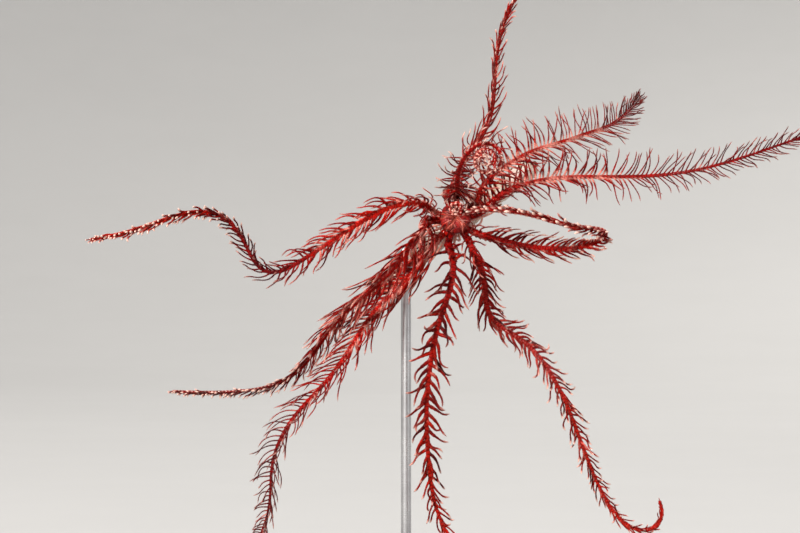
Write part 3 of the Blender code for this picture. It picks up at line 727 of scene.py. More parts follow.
@dataclass(frozen=True)
class StarFlesh(Finish):
    """The arms' and pinnules' skin: deep red, with paler and darker stretches that the mesh marks; the salmon
    stretches and the cream dots are partly the skin's own colour and partly painted highlight.
    """

    name: str = "star_flesh"
    lower: Colour = (0.12, 0.0003, 0.0003)
    upper: Colour = (0.50, 0.0026, 0.0012)
    orange: Colour = (0.64, 0.016, 0.001)
    # salmon is partly the skin's own pale pink and partly a painted highlight on the lit rachis.
    salmon: Colour = (0.88, 0.31, 0.24)
    wine: Colour = (0.040, 0.0003, 0.0010)
    # cream is partly pale spots and tips and partly painted highlight, the glints on the pinnules' bases and
    # tips.
    cream: Colour = (0.90, 0.60, 0.50)
    clouds: float = 620.0
    patches: float = 150.0
    patchiness: float = 2.6
    joint_width: float = 0.17
    joint_darkness: float = 0.72
    joint_depth: float = 1.3
    unevenness: float = 0.26
    grain: float = 5200.0
    roughness: Pair = (0.22, 0.40)
    specular: float = 0.07
    coat: float = 0.06
    coat_roughness: float = 0.06
    subsurface: float = 0.08
    subsurface_radius: Triple = (0.9, 0.06, 0.04)

    def colour(self, wires: Wiring) -> Socket:
        """Gives the colour: red clouds, salmon patches that are partly painted highlight, uneven segments,
        dark joints, and cream dots and pale tips that are partly painted highlight.
        """
        pale, joints = wires.mark("pale"), wires.mark("joints")
        warmed = wires.blend(wires.mark("warm"), super().colour(wires), self.orange)
        patch = wires.noise(wires.place(), self.patches, detail=5.0, roughness=0.6)
        uneven = wires.maths("MULTIPLY", wires.maths("SUBTRACT", patch, 0.5), self.patchiness)
        patchy = wires.window(wires.maths("ADD", pale, uneven), 0.25, 0.85)
        # The salmon laid here is partly pale skin and partly painted highlight.
        pale_and_highlight = wires.maths("MULTIPLY", wires.window(pale, 0.0, 0.3), patchy, clamp=True)
        paled = wires.blend(pale_and_highlight, warmed, self.salmon)
        own = wires.add("TexWhiteNoise", noise_dimensions="1D", into={"W": wires.maths("FLOOR", joints)})
        luck = wires.maths("MULTIPLY", own.outputs["Value"], self.unevenness)
        shaded = wires.blend(wires.maths("ADD", wires.mark("shade"), luck, clamp=True), paled, self.wine)
        line = wires.maths("MULTIPLY", self._joint(wires)["Line"], self.joint_darkness)
        # The cream dots are partly pale spots and partly painted highlights.
        return wires.blend(wires.mark("dots"), wires.blend(line, shaded, self.wine), self.cream)

    def height(self, wires: Wiring, grain: Socket) -> Socket:
        """Gives the relief's height: the grain, sunk at the joints."""
        sunk = wires.maths("MULTIPLY", self._joint(wires)["Height"], self.joint_depth)
        return wires.maths("ADD", grain, sunk)

    def _joint(self, wires: Wiring) -> bpy.types.NodeOutputs:
        """Gives the joints' lines."""
        return Effects.use(wires, "joints", {"Count": wires.mark("joints"), "Width": self.joint_width})


@dataclass(frozen=True)
class DiscLeather(Finish):
    """The disc's soft skin: dark red and leathery, with pale groove floors and small pale warts."""

    name: str = "disc_leather"
    lower: Colour = (0.07, 0.0008, 0.0008)
    upper: Colour = (0.30, 0.005, 0.003)
    clouds: float = 620.0
    specks: float = 0.8
    layers: tuple[tuple[str, Colour], ...] = (("pale", (0.66, 0.14, 0.09)), ("dots", (0.70, 0.20, 0.14)))
    grain: float = 2600.0
    pits: float = 0.9
    relief: float = 0.00012
    roughness: Pair = (0.34, 0.6)
    specular: float = 0.2
    coat: float = 0.12
    subsurface: float = 0.08


@dataclass(frozen=True)
class CirrusHorn(Finish):
    """The cirri's hard skin: rosy, banded with red at the joints, with amber claws."""

    name: str = "cirrus_horn"
    lower: Colour = (0.56, 0.13, 0.09)
    upper: Colour = (0.80, 0.42, 0.32)
    band: Colour = (0.17, 0.006, 0.008)
    layers: tuple[tuple[str, Colour], ...] = (("shade", (0.17, 0.006, 0.008)), ("warm", (0.52, 0.20, 0.05)))
    joint_width: float = 0.2
    joint_darkness: float = 0.7
    grain: float = 6000.0
    pits: float = 0.4
    relief: float = 0.00004
    roughness: Pair = (0.24, 0.44)
    specular: float = 0.4
    coat: float = 0.25
    coat_roughness: float = 0.15
    subsurface: float = 0.12

    def colour(self, wires: Wiring) -> Socket:
        """Gives the colour: rosy clouds and marks, with a red band at each joint."""
        joint = Effects.use(wires, "joints", {"Count": wires.mark("joints"), "Width": self.joint_width})
        line = wires.maths("MULTIPLY", joint["Line"], self.joint_darkness)
        return wires.blend(line, super().colour(wires), self.band)


@dataclass(frozen=True)
class GorgonianRind(Finish):
    """The stem's chalky rind: cream white, sandy with spicules, brown round each polyp."""

    name: str = "gorgonian_rind"
    lower: Colour = (0.66, 0.53, 0.42)
    upper: Colour = (0.86, 0.79, 0.70)
    clouds: float = 260.0
    specks: float = 0.9
    layers: tuple[tuple[str, Colour], ...] = (("shade", (0.70, 0.50, 0.44)), ("dots", (0.16, 0.055, 0.016)))
    grain: float = 5200.0
    pits: float = 1.0
    relief: float = 0.0001
    roughness: Pair = (0.6, 0.86)
    subsurface: float = 0.1
    subsurface_radius: Triple = (0.8, 0.6, 0.45)


@dataclass(frozen=True)
class PolypFlesh(Finish):
    """The small polyps: glassy amber brown."""

    name: str = "polyp_flesh"
    lower: Colour = (0.20, 0.07, 0.02)
    upper: Colour = (0.50, 0.24, 0.09)
    clouds: float = 2200.0
    grain: float = 7000.0
    pits: float = 0.4
    relief: float = 0.00004
    coat: float = 0.2
    subsurface: float = 0.2
    subsurface_radius: Triple = (0.8, 0.4, 0.2)


@dataclass(frozen=True)
class HornyCore(Finish):
    """The stem's horny core: near-black brown, laid down in thin rings."""

    name: str = "horny_core"
    lower: Colour = (0.020, 0.009, 0.005)
    upper: Colour = (0.14, 0.065, 0.028)
    clouds: float = 1500.0
    specks: float = 0.8
    grain: float = 4500.0
    coat: float = 0.2


@dataclass(frozen=True)
class SatinWalnut(Finish):
    """The base's oiled walnut: year rings cut lengthwise, with fine fibres, open pores and a satin coat."""

    name: str = "satin_walnut"
    lower: Colour = (0.017, 0.0075, 0.004)
    upper: Colour = (0.120, 0.054, 0.026)
    heart: Triple = (0.0, 0.016, 0.034)
    stretch: Triple = (0.07, 1.0, 1.0)
    ring_scale: float = 120.0
    fibres: float = 2400.0
    pore_share: float = 0.60
    relief: float = 0.00005
    roughness: Pair = (0.34, 0.5)
    coat: float = 0.25
    coat_roughness: float = 0.3

    def _lying(self, wires: Wiring, stretch: Triple) -> Socket:
        """Gives the place, drawn out along the grain and measured from the heart of the trunk."""
        into = {"Vector": wires.place(), "Location": self.heart, "Scale": stretch}
        return wires.add("Mapping", into=into).outputs["Vector"]

    def _fibre(self, wires: Wiring, share: float) -> Socket:
        """Gives fine streaks along the grain, at a share of the fibres' number."""
        lying = self._lying(wires, (0.025, 1.0, 1.0))
        return wires.noise(lying, self.fibres * share, detail=4.0, roughness=0.65)

    def colour(self, wires: Wiring) -> Socket:
        """Gives the colour: the year rings, broken by fibres and pores."""
        rings = wires.add("TexWave", wave_type="RINGS", rings_direction="X", wave_profile="SAW", into={
            "Vector": self._lying(wires, self.stretch), "Scale": self.ring_scale, "Distortion": 5.0,
            "Detail": 3.0, "Detail Scale": 0.35, "Detail Roughness": 0.6,
        }).outputs["Fac"]
        shares = wires.maths("MULTIPLY", rings, 0.42), wires.maths("MULTIPLY", self._fibre(wires, 1.0), 0.9)
        broad = wires.maths("MULTIPLY", self._fibre(wires, 0.12), 0.5)
        share = wires.maths("ADD", wires.maths("ADD", *shares), broad)
        grained = wires.blend(wires.window(share, 0.45, 1.25), self.lower, self.upper)
        return wires.blend(self._pores(wires), grained, self.lower)

    def _pores(self, wires: Wiring) -> Socket:
        """Gives the open pores."""
        return wires.window(self._fibre(wires, 1.7), self.pore_share, self.pore_share + 0.08)

    def height(self, wires: Wiring, grain: Socket) -> Socket:
        """Gives the relief's height: the fibres, sunk at the pores."""
        fibre = wires.maths("MULTIPLY", self._fibre(wires, 1.0), 0.4)
        return wires.maths("SUBTRACT", fibre, self._pores(wires))


@dataclass(frozen=True)
class BrushedSteel(Finish):
    """The rod's and ring's brushed steel, with fine lines round the rod."""

    name: str = "brushed_steel"
    lower: Colour = (0.56, 0.56, 0.57)
    upper: Colour = (0.44, 0.44, 0.45)
    clouds: float = 130.0
    specks: float = 0.1
    lines: float = 9000.0
    relief: float = 0.000006
    roughness: Pair = (0.20, 0.42)
    metallic: float = 1.0

    def height(self, wires: Wiring, grain: Socket) -> Socket:
        """Gives the relief's height: the brush's lines."""
        into = {"Vector": wires.place(), "Scale": (0.05, 0.05, 1.0)}
        lying = wires.add("Mapping", into=into).outputs["Vector"]
        return wires.noise(lying, self.lines, detail=4.0, roughness=0.7)

    def wear(self, wires: Wiring, tooth: Socket) -> Socket:
        """Gives what the roughness follows: the brush's lines, in places rubbed smooth."""
        rubbed = wires.maths("MULTIPLY", wires.noise(wires.place(), self.clouds, detail=4.0), 0.4)
        return wires.maths("ADD", wires.maths("MULTIPLY", self.height(wires, tooth), 0.6), rubbed)


@dataclass(frozen=True)
class GreyFelt(Finish):
    """The felt under the base and in the ring."""

    name: str = "grey_felt"
    lower: Colour = (0.03, 0.03, 0.032)
    upper: Colour = (0.10, 0.10, 0.105)
    clouds: float = 1400.0
    specks: float = 1.0
    grain: float = 4200.0
    pits: float = 1.0
    relief: float = 0.0002
    roughness: Pair = (0.85, 1.0)
    sheen: float = 0.3


@dataclass(frozen=True)
class StudioPaper(Finish):
    """The floor's plain pale paper."""

    name: str = "studio_paper"
    lower: Colour = (0.505, 0.498, 0.485)
    upper: Colour = (0.515, 0.508, 0.495)
    clouds: float = 3.0
    roughness: Pair = (0.88, 0.92)
    relief: float = 0.0


# The animal's routes and sizes


@dataclass(frozen=True)
class Tints:
    """How an arm's colour runs in even steps from its root to its tip, each value from 0 to 1."""

    pale: Steps
    shade: Steps
    warm: Steps
    dots: Steps
    tips: Steps


@dataclass(frozen=True)
class ArmPose:
    """Where one arm runs and how its pinnules stand, in millimetres and degrees.

    Every row of steps is given in even steps from the arm's root to its tip.

    Attributes:
        name: The start of the names of the arm's solids.
        route: The arm's line outwards from the crown's centre: right, back and up.
        lengths: The pinnules' lengths.
        opening: The pinnules' angle from the arm.
        tints: The arm's colours.
        closing: The share of its opening that a pinnule keeps at its end.
        flick: How far a pinnule's last part bends outwards again.
        girth: The pinnules' thickness, as a share of the usual one.
        radii: The arm's own radius.
        lift: How far the pinnules are raised from the arm's sides towards its groove.
        roll: The frame's turn about the arm.
        pieces: How many solids the arm has.
        brachial: The length of a brachial.
        ripe: How far along the arm the pinnules are swollen.
        unrest: How unevenly the pinnules stand.
        dot_every: Which of the pinnules on a side have their pale tip, partly painted highlight, counted from
            the root.
        dot_share: The share of a pinnule that its pale tip, partly painted highlight, takes.
    """

    name: str
    route: tuple[Triple, ...]
    lengths: Steps
    opening: Steps
    tints: Tints
    closing: Steps = (0.45,)
    flick: Steps = (0.0,)
    girth: Steps = (1.0,)
    radii: Steps = (0.90, 0.70, 0.61, 0.54, 0.46, 0.36, 0.24)
    lift: Steps = (18.0,)
    roll: Steps = (0.0,)
    pieces: int = 3
    brachial: float = 0.86
    ripe: float = 0.3
    unrest: float = 0.24
    dot_every: int = 1
    dot_share: float = 0.2

    def nodes(self) -> list[str]:
        """Gives the names of the arm's solids."""
        parts = ("base", "mid", "tip") if self.pieces == 3 else ("base", "mid", "outer", "tip")
        return [f"{self.name}_{part}" for part in parts]


def curl(centre: Pair, radii: Pair, sweep: Pair, depths: Pair, step: float = 60.0) -> list[Triple]:
    """Routes points along a flat curl.

    Args:
        centre: The curl's centre, right and up.
        radii: Its radius at the start and the end.
        sweep: Its turn at the start and the end, in degrees.
        depths: How far back it lies at the start and the end.
        step: Degrees between points.

    Returns:
        The route's points.
    """
    count = max(2, round(abs(sweep[1] - sweep[0]) / step))
    made = []
    for share in (i / count for i in range(count + 1)):
        turn, radius, depth = (low + (high - low) * share for low, high in (sweep, radii, depths))
        turn = math.radians(turn)
        made.append((centre[0] + radius * math.cos(turn), depth, centre[1] + radius * math.sin(turn)))
    return made


ARMS = (
    ArmPose(
        "arm_01",
        ((11.3, -3, 7), (18.8, 0, 9.4), (25.5, 2, 10.8), (36.3, 3, 10.9), (47, 4, 10.9),
         (54, 4, 11.5), (61.5, 3, 12.6), (71.5, 1, 15.4), (78.5, -1, 17.9), (87, -4, 20.8),
         (96, -8, 24.6)),
        (8.4, 8.2, 7.4, 6.2, 5, 3.6), (60, 56, 48, 42, 36, 22),
        Tints(
            (0.3, 0.9, 0.75, 0.2, 0.05, 0), (0.25, 0.2, 0.3, 0.45, 0.55, 0.55), (0.2, 0.1, 0),
            (0.1, 0.2, 0.25), (0.1, 0.15, 0.2, 0.15),
        ),
        closing=(0.9, 1.6, 1.7, 1.2, 0.7, 0.5), flick=(0, 0, 8, 12), girth=(0.9,),
        radii=(0.9, 0.62, 0.5, 0.44, 0.38, 0.3, 0.22), roll=(-10, 35), brachial=0.54, unrest=0.3,
    ),
    ArmPose(
        "arm_02",
        ((6.5, -3.5, 8.6), (10.5, -2, 12), (15.5, 1, 15.4), (21, 5, 18.2), (29, 10, 20.3),
         (34.5, 15, 22.6), (40, 21, 24.2), (45.3, 28, 28.2), (49, 36, 33)),
        (8, 8.4, 8, 6.4, 3.6), (62, 62, 58, 44, 20),
        Tints(
            (0.3, 0.9, 1, 0.5, 0), (0.25, 0.2, 0.25, 0.45, 0.65), (0.2, 0.2, 0.1), (0.2, 0.3, 0.1),
            (0.1, 0.15, 0.1),
        ),
        closing=(0.9, 1.6, 1.7, 1.1, 0.5), girth=(0.9,), radii=(0.9, 0.62, 0.5, 0.45, 0.4, 0.34, 0.24),
        roll=(0, 10), brachial=0.5, unrest=0.26,
    ),
    ArmPose(
        "arm_03",
        ((0.6, -8, 7), (0.2, -14, 9.4), (0.6, -19, 12.4),
         *curl((7.2, 14.2), (5.2, 2.2), (160, -410), (-22.5, -31))),
        (6.5, 6.2, 5.6, 4.6, 3), (58, 66, 72, 66, 44),
        Tints((0.1, 0.3, 0.6, 0.6), (0.25, 0.2, 0.1), (0.1, 0.05, 0.05), (0.3, 0.8, 0.9), (0.4, 0.7, 0.8)),
        closing=(0.5, 0.7), flick=(0, 20, 20), girth=(0.9,), brachial=0.58, unrest=0.45, dot_share=0.34,
    ),
    ArmPose(
        "arm_04",
        ((-0.6, -2, 7.6), (0.8, 1, 12.4), (3.3, 4.5, 16.6), (6.2, 7, 20), (8.6, 8.5, 24.4),
         (9.8, 10, 29.4), (10.2, 11, 35.4), (10.6, 12, 41.4), (11.6, 12.5, 47.4), (13.6, 12, 53),
         (16.5, 10, 58.4), (20, 6, 63), (23.6, 0, 66.4)),
        (7.5, 7.4, 6.6, 4.6, 3.6, 3), (58, 50, 38, 22, 16, 14),
        Tints(
            (0.1, 0.3, 0.5, 0.5, 0.4), (0.2, 0.05, 0.1), (0.3, 0.2, 0.1), (0.2, 0.4, 0.7), (0.4, 0.6, 0.6),
        ),
        closing=(0.4,), flick=(0, 0, 15, 28, 28), girth=(1, 1, 1.15, 1.35, 1.35),
        roll=(20, -20), brachial=0.8, unrest=0.3,
    ),
    ArmPose(
        "arm_05",
        ((-8.2, -5, 4.2), (-12.6, -5.5, 4.2), (-17, -5.5, 2.9), (-22.3, -4.5, 0.2), (-27.8, -2.5, -3.2),
         (-33.3, -0.5, -6.9), (-38.8, 1, -10.4), (-43.3, 2.5, -13), (-47.4, 3, -13.4),
         (-50.6, 3, -10.4), (-52.3, 2, -6.2), (-55.2, 1, -1.2), (-60, -1, 2.2), (-66.3, -3, 2.3),
         (-73.8, -5, -0.4), (-81.3, -6.5, -3.2), (-90.6, -8, -5)),
        (8, 7.6, 7.2, 6.6, 5.2, 4.4, 4, 3.9, 2.4), (48, 42, 38, 44, 42, 31, 27, 27, 24),
        Tints(
            (0.9, 0.8, 0.35, 0.1, 0.05, 0, 0), (0, 0, 0.1, 0.7, 0.4, 0.05, 0.05),
            (0.2, 0.3, 0.2, 0, 0.15, 0.45, 0.45), (0.2, 0.2, 0.2, 0.3, 0.9, 1, 1),
            (0.5, 0.5, 0.2, 0.35, 0.5, 0.6),
        ),
        closing=(0.35, 0.35, 0.35, 0.5, 0.5, 0.35), flick=(0, 0, 0, 15, 38, 56, 52, 46),
        girth=(1, 1, 1.05, 1, 1.2, 1.65, 1.7, 1.6),
        radii=(0.9, 0.7, 0.62, 0.55, 0.5, 0.46, 0.44, 0.42, 0.4),
        lift=(18, 18, 18, 18, 20, 26, 42, 52, 52), roll=(-10, 0, 0, 10), pieces=4,
        brachial=0.64, unrest=0.36, dot_share=0.24,
    ),
    ArmPose(
        "arm_06",
        ((-7.8, -5, -2.6), (-11.2, -6.5, -6.8), (-15, -6.5, -11.8), (-21.4, -5, -18),
         (-27, -2, -22.4), (-31.2, 1.5, -27), (-34.8, 4.5, -32.4), (-39, 8, -37.8),
         (-44.4, 12, -41.6), (-52, 17, -43.4), (-61.4, 22.5, -44), (-72.6, 28, -43.8)),
        (9, 9.8, 9, 5.6, 3.6, 3.2), (42, 37, 32, 24, 17, 17),
        Tints(
            (0.5, 0.55, 0.4, 0.1, 0.1), (0, 0, 0.15, 0.5, 0.4), (0.2, 0.1, 0), (0.2, 0.3, 0.9, 1),
            (0.45, 0.4, 0.5),
        ),
        closing=(0.4, 0.35, 0.4, 0.4), flick=(0, 0, 10, 30, 36),
        girth=(1.1, 1.1, 1.05, 1.25, 1.25), lift=(22, 22, 22, 35, 45), roll=(0, -10),
        brachial=0.58, unrest=0.32, dot_share=0.26,
    ),
    ArmPose(
        "arm_07",
        ((-5.8, -1.5, -7.6), (-9.6, 0.5, -12.4), (-14, 2, -16.6), (-18.6, 3, -21.2), (-22.6, 2.6, -26),
         (-26.2, 0.5, -32.2), (-30.2, -2, -38.2), (-35, -4, -43.4), (-40.4, -5, -49),
         (-44.2, -4.5, -55.4), (-46, -3, -62), (-46, 0, -69), (-47.2, 3, -75.2),
         (-49.4, 6.5, -80.4)),
        (9, 9.8, 9, 7.4, 6.6, 4.2), (42, 38, 36, 50, 60, 44),
        Tints(
            (0.3, 0.5, 0.4, 0.1, 0), (0, 0.05, 0.2, 0.6, 0.6), (0.3, 0.2, 0), (0.2, 0.3, 0.3),
            (0.4, 0.4, 0.6),
        ),
        closing=(0.4, 0.35, 0.45, 0.5), girth=(1.1, 1.1, 1, 1), roll=(10, 45), brachial=0.6, unrest=0.32,
    ),
    ArmPose(
        "arm_08",
        ((-0.6, -6.5, -8.2), (-0.4, -8, -13.6), (-2, -8, -19.4), (-4.4, -8, -26), (-5.8, -8, -32.6),
         (-6.8, -8, -39.4), (-7.3, -7.5, -46.6), (-7.1, -6.5, -54), (-6.6, -5, -61.4),
         (-5.8, -4, -68.2), (-4.2, -3, -73.8), (-1.6, -3.5, -79), (2, -4.5, -83.6)),
        (7.5, 7.2, 7, 6.2, 5, 4), (60, 58, 52, 42, 32, 24),
        Tints(
            (0.1, 0.1, 0.05, 0.05, 0.1), (0.35, 0.4, 0.4, 0.4, 0.35), (0.1, 0.2, 0.5, 0.6, 0.5),
            (0.1, 0.3, 0.9), (0.45, 0.55, 0.65),
        ),
        closing=(0.55, 0.6, 0.6), flick=(6, 22, 36, 36), girth=(1.25, 1.6, 1.7, 1.6, 1.5),
        radii=(0.9, 0.78, 0.72, 0.64, 0.56, 0.46, 0.32), roll=(0, 15), brachial=0.98, ripe=0.62, unrest=0.52,
    ),
    ArmPose(
        "arm_09",
        ((3.8, -3.5, -7), (6.2, -2, -10.6), (7.5, 0.5, -15.6), (7.6, 2.5, -20.8), (9.2, 3.5, -25.2),
         (13.6, 3, -28), (19, 1, -31.4), (23.4, -1, -37.4), (27.2, -2, -44.2),
         (30.2, -2, -52.2), (33, -2, -59.8), (35.9, -2, -66.8), (38.9, -3, -72.2),
         *curl((47.4, -72.4), (6.4, 4.2), (215, 400), (-4, -6.5))),
        (7, 6.4, 5.6, 5.2, 4.8, 3.8, 1.8), (54, 42, 36, 36, 32, 18, 7),
        Tints(
            (0.1, 0.05, 0), (0.4, 0.4, 0.45, 0.45, 0.15), (0.1, 0.3, 0.6, 0.6, 0.3),
            (0.2, 0.4, 0.8, 0.7, 0.1), (0.4, 0.6, 0.8, 0.2),
        ),
        closing=(0.5,), flick=(0, 14, 34, 38, 34, 14, 0),
        girth=(1, 1.1, 1.3, 1.35, 1.3, 1.2, 1.3), radii=(0.9, 0.72, 0.64, 0.56, 0.5, 0.45, 0.42, 0.42),
        roll=(0, -20), pieces=4, brachial=0.72, unrest=0.46, dot_share=0.2,
    ),
    ArmPose(
        "arm_10",
        ((7.6, -2.5, -4.2), (13.4, 0.5, -5.8), (20.2, 3, -7), (27.2, 4, -7.4), (33.2, 2.5, -6.6),
         (37.2, -2, -4.6), (37.4, -7.5, -2.8), (33.8, -11.5, -2.2), (28.8, -13.5, -1.8), (22.8, -14.5, -0.2),
         (16.4, -15, 1.6), (10, -15, 2.2), (4.6, -15, 2.2),
         *curl((0.2, 2.6), (2, 1.4), (250, -60), (-15, -16.4))),
        (7, 6.4, 4.8, 4.2, 4, 2.6), (56, 46, 31, 27, 26, 20),
        Tints(
            (0.1, 0.2, 0.4, 0.55, 0.5), (0.25, 0.1, 0, 0), (0.1, 0.1, 0.1), (0.2, 0.8, 1, 1, 0.6),
            (0.3, 0.6, 0.6),
        ),
        closing=(0.4, 0.4, 0.3), flick=(0, 0, 28, 42, 42, 40),
        girth=(1, 1, 1.4, 1.9, 1.9, 1.3), radii=(0.9, 0.72, 0.64, 0.58, 0.54, 0.48, 0.34),
        lift=(18, 18, 30, 62, 66, 66, 50), roll=(0, 0, 20, 110, 172, 180, 180),
        pieces=4, brachial=0.7, dot_every=2, dot_share=0.34,
    ),
)


@dataclass(frozen=True)
class Crown:
    """The frame of the calyx: its centre, its tilt and the five rays that fork into ten arms."""

    centre: Triple = (0.0, -5.0, 97.0)
    tilt: float = math.radians(14.0)
    rays: int = 5
    first_turn: float = math.radians(26.0)
    fork_turn: float = math.radians(12.0)
    fork_reach: float = 1.6
    root_reach: float = 4.9
    root_height: float = -0.25
    rise: float = 0.6
    lead: float = 3.0

    @property
    def oral(self) -> Array:
        """The way that the mouth faces."""
        return np.array([0.0, -math.cos(self.tilt), math.sin(self.tilt)])

    @property
    def right(self) -> Array:
        """The crown's own right."""
        return np.array([1.0, 0.0, 0.0])

    @property
    def up(self) -> Array:
        """The crown's own up, square to its right and to the way it faces."""
        return np.cross(self.oral, self.right)

    def point(self, turn: Array | float, radius: Array | float, height: Array | float) -> Array:
        """Gives points turned round the mouth, out from its axis and up towards the mouth side."""
        turn, radius, height = np.broadcast_arrays(turn, radius, height)
        out = turned(turn, self.right, self.up)
        return np.array(self.centre) + out * radius[..., None] + self.oral * height[..., None]

    def ray_turn(self, number: int) -> float:
        """Gives the turn of the ray that an arm springs from."""
        return self.first_turn + math.tau * (number // 2) / self.rays

    def arm_turn(self, number: int) -> float:
        """Gives an arm's own turn."""
        return self.ray_turn(number) + (self.fork_turn if number % 2 else -self.fork_turn)

    def arm_track(self, number: int) -> Track:
        """Lays the track of an arm, from its fork inside the cup to its tip."""
        turn, centre = self.arm_turn(number), np.array(self.centre)
        root = self.point(turn, self.root_reach, self.root_height)
        outward = unit(self.point(turn, self.root_reach, 0.0) - centre)
        lead = root + unit(outward + self.oral * self.rise) * self.lead
        controls = np.vstack([root, lead, centre + np.array(ARMS[number].route)])
        start = self.point(turn, self.fork_reach, self.root_height)
        return Track.through(controls, self.oral, ARMS[number].roll, start=start)


@dataclass
class Arm:
    """One arm's line, joints and section, from which its skin and its pinnules are made."""

    number: int
    pose: ArmPose
    track: Track
    sides: int = 14
    lean: float = 0.34
    settles: Pair = (0.5, 3.0)
    socket_place: float = 0.72
    socket_length: float = 0.32
    socket_width: float = 0.72
    socket_rise: float = 0.38
    groove_width: float = 0.42
    groove_depth: float = 0.27
    lappet_turn: float = 0.85
    lappet_width: float = 0.3
    lappet_rise: float = 0.13
    keel_width: float = 0.9
    keel_rise: float = 0.05
    joints: Array = field(init=False)

    # The rings of one brachial: its share of the brachial's length and of the arm's radius.
    RINGS = ((0.0, 0.82), (0.16, 0.94), (0.58, 0.95), (0.88, 1.06))

    def __post_init__(self) -> None:
        """Places the joints, closer together at the root and the tip."""
        ends = [self.track.distances[0]]
        while ends[-1] < self.track.length - 0.5:
            share = max(0.0, ends[-1] / self.track.length)
            ends.append(ends[-1] + self.pose.brachial * float(along((0.86, 1.02, 1.04, 0.8), share)))
        lead = ends[0]
        self.joints = lead + (np.array(ends) - lead) * (self.track.length - lead) / (ends[-1] - lead)

    def share(self, distance: Array | float) -> Array:
        """Gives how far along the arm a distance is, from 0 to 1."""
        return np.clip(np.asarray(distance, float) / self.track.length, 0.0, 1.0)

    def radius(self, distance: Array | float) -> Array:
        """Gives the arm's radius, which nowhere passes its solids', rounded off at the tip."""
        radius = along(self.pose.radii, self.share(distance))
        past = np.clip(1 - (self.track.length - np.asarray(distance, float)) / radius, 0.0, 0.92)
        return radius * np.sqrt(1 - past * past)

    def hand(self, joint: Array | int) -> Array:
        """Gives the side, plus or minus one, that the brachial after a joint bears its pinnule on."""
        return np.where(np.asarray(joint) % 2 == 1, 1.0, -1.0)

    def rings(self, first: int, last: int) -> tuple[Array, dict[str, Array], Array]:
        """Shapes the skin between two joints.

        Args:
            first: The joint that the stretch starts at.
            last: The joint that it ends at.

        Returns:
            The rings' points as ring, side and axis, the marks as ring and side, and the rings' distances.
        """
        joint = np.append(np.repeat(np.arange(first, last), len(self.RINGS)), last)
        cycle = np.array([*self.RINGS * (last - first), (0.0, self.RINGS[0][1])])
        phase, width = cycle[:, :1], cycle[:, 1:]
        after = np.minimum(joint + 1, len(self.joints) - 1)
        distance = self.joints[joint] * (1 - phase[:, 0]) + self.joints[after] * phase[:, 0]
        centre, tangent, normal, side = (v[:, None] for v in self.track.at(distance))
        turn = turns(self.sides)
        hand = self.hand(joint)[:, None]
        settled = eased(*self.settles, distance)[:, None]
        beside = wrapped(turn - np.where(hand > 0, 0.0, math.pi))
        along_socket = swell(phase - self.socket_place, self.socket_length)
        socket = swell(beside, self.socket_width) * along_socket * settled
        from_groove = wrapped(turn - math.pi / 2)
        groove = self.groove_depth * swell(from_groove, self.groove_width)
        lappets = swell(np.abs(from_groove) - self.lappet_turn, self.lappet_width)
        lappets = self.lappet_rise * lappets * (0.4 + 0.6 * swell(phase - 0.58, 0.25)) * settled
        keel = self.keel_rise * swell(wrapped(turn + math.pi / 2), self.keel_width)
        scale = width * (1 + self.socket_rise * socket - groove * settled + lappets + keel)
        radius = self.radius(distance)[:, None]
        points = centre + turned(turn, side, normal) * (radius * scale)[..., None]
        leaning = self.lean * hand * (2 * phase - 1) * settled
        points = points + tangent * (np.cos(turn) * leaning * radius)[..., None]
        share, tints = self.share(distance)[:, None], self.pose.tints
        aboral = eased(-0.2, 1.0, -np.sin(turn))
        # pale lays salmon that is partly the rachis' own pale pink and partly painted highlight; dots lays
        # cream spots on the pinnules' bases, partly pale spots and partly painted highlights.
        marks = {
            "joints": joint[:, None] + phase,
            "pale": along(tints.pale, share) * (0.3 + 0.1 * aboral + socket) + 0.1 * socket * (share > 0),
            "shade": along(tints.shade, share), "warm": along(tints.warm, share),
            "dots": 0.6 * along(tints.dots, share) * np.clip(socket * 1.5 - 0.25, 0.0, 1.0),
        }
        return points, {mark: value[None] for mark, value in marks.items()}, distance


# The animal's parts


